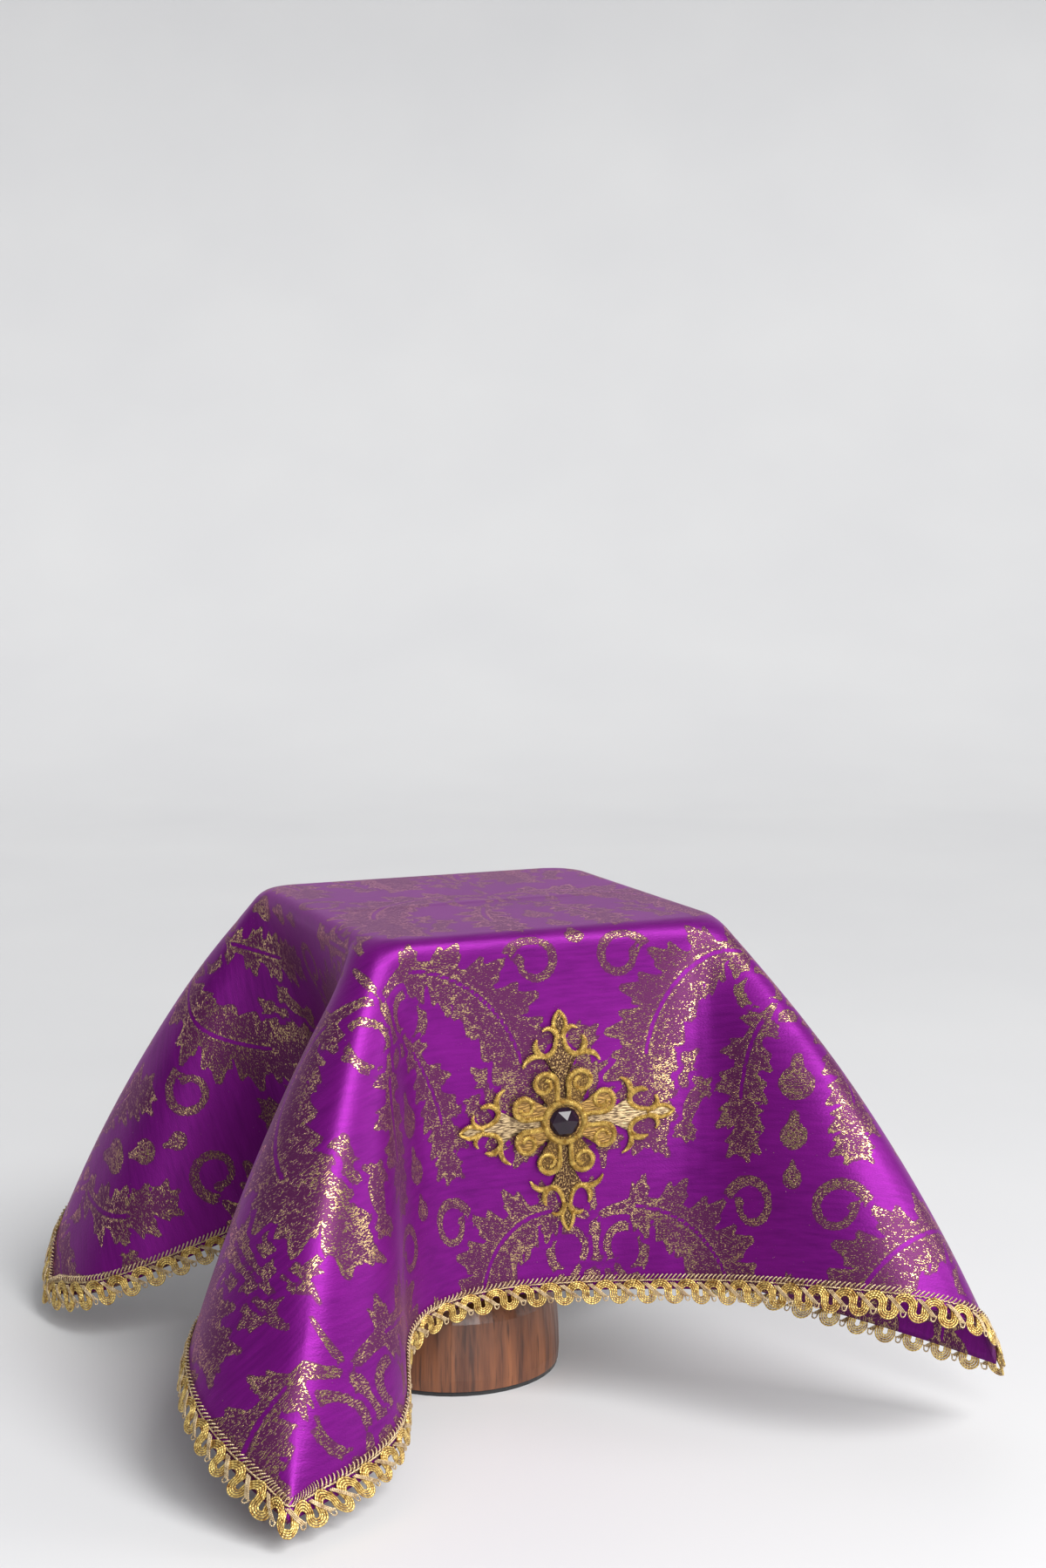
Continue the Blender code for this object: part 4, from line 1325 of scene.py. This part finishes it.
soft_light("front", (-0.35, -1.55, 0.85), (-0.02, -0.05, 0.12), (0.40, 0.9), 13)
soft_light("right", (1.30, -0.75, 0.60), (0.05, 0.0, 0.14), (0.4, 0.8), 6)
point, first, second = stone_points[[0, 2, 3]]
facet_normal = unit(np.cross(first - point, second - point))
to_camera = unit(np.array(camera.location) - point)
mirrored_way = 2 * (to_camera @ facet_normal) * facet_normal - to_camera
soft_light("window", (point + 1.1 * mirrored_way).tolist(), point.tolist(), (0.30, 0.30), 4.0)
sky = bpy.data.lights.new("sky", "SUN")
sky.energy = 3.0
sky.angle = math.radians(30)
sun = bpy.data.objects.new("sky", sky)
sun.rotation_euler = Vector((-0.38, 0.85, -0.95)).to_track_quat("-Z", "Y").to_euler()
bpy.context.scene.collection.objects.link(sun)
bpy.context.scene.view_settings.view_transform = "Standard"

world = bpy.data.worlds.new("studio")
world.use_nodes = True
background = world.node_tree.nodes["Background"]
background.inputs["Color"].default_value = (0.86, 0.87, 0.90, 1)
background.inputs["Strength"].default_value = 0.26
bpy.context.scene.world = world

floor_finish, tree, shader = new_finish("pale_floor", Roughness=0.55)
mottle = noise(tree, add_node(tree, "ShaderNodeTexCoord").outputs["Object"], 3.0)
connect(tree, shader, Base_Color=blend_colours(tree, mottle, (0.60, 0.60, 0.61, 1), (0.66, 0.66, 0.66, 1)))
REACH = 12.0
WALL = 4.2
BEND = 2.0
curve = [(-REACH, 0.0), (-1.0, 0.0)]
for t in np.linspace(0, math.pi / 2, 33):
    curve.append((WALL - BEND * (1 - math.sin(t)), BEND * (1 - math.cos(t))))
curve.append((WALL, REACH))
floor_points = []
for away, height in curve:
    for side in (-REACH, REACH):
        x = away * math.sin(CAMERA_TURN) + side * math.cos(CAMERA_TURN)
        y = away * math.cos(CAMERA_TURN) - side * math.sin(CAMERA_TURN)
        floor_points.append((x, y, height))
floor_faces = [(2 * i, 2 * i + 1, 2 * i + 3, 2 * i + 2) for i in range(len(curve) - 1)]
floor = make_piece("floor", floor_points, floor_faces, floor_finish)
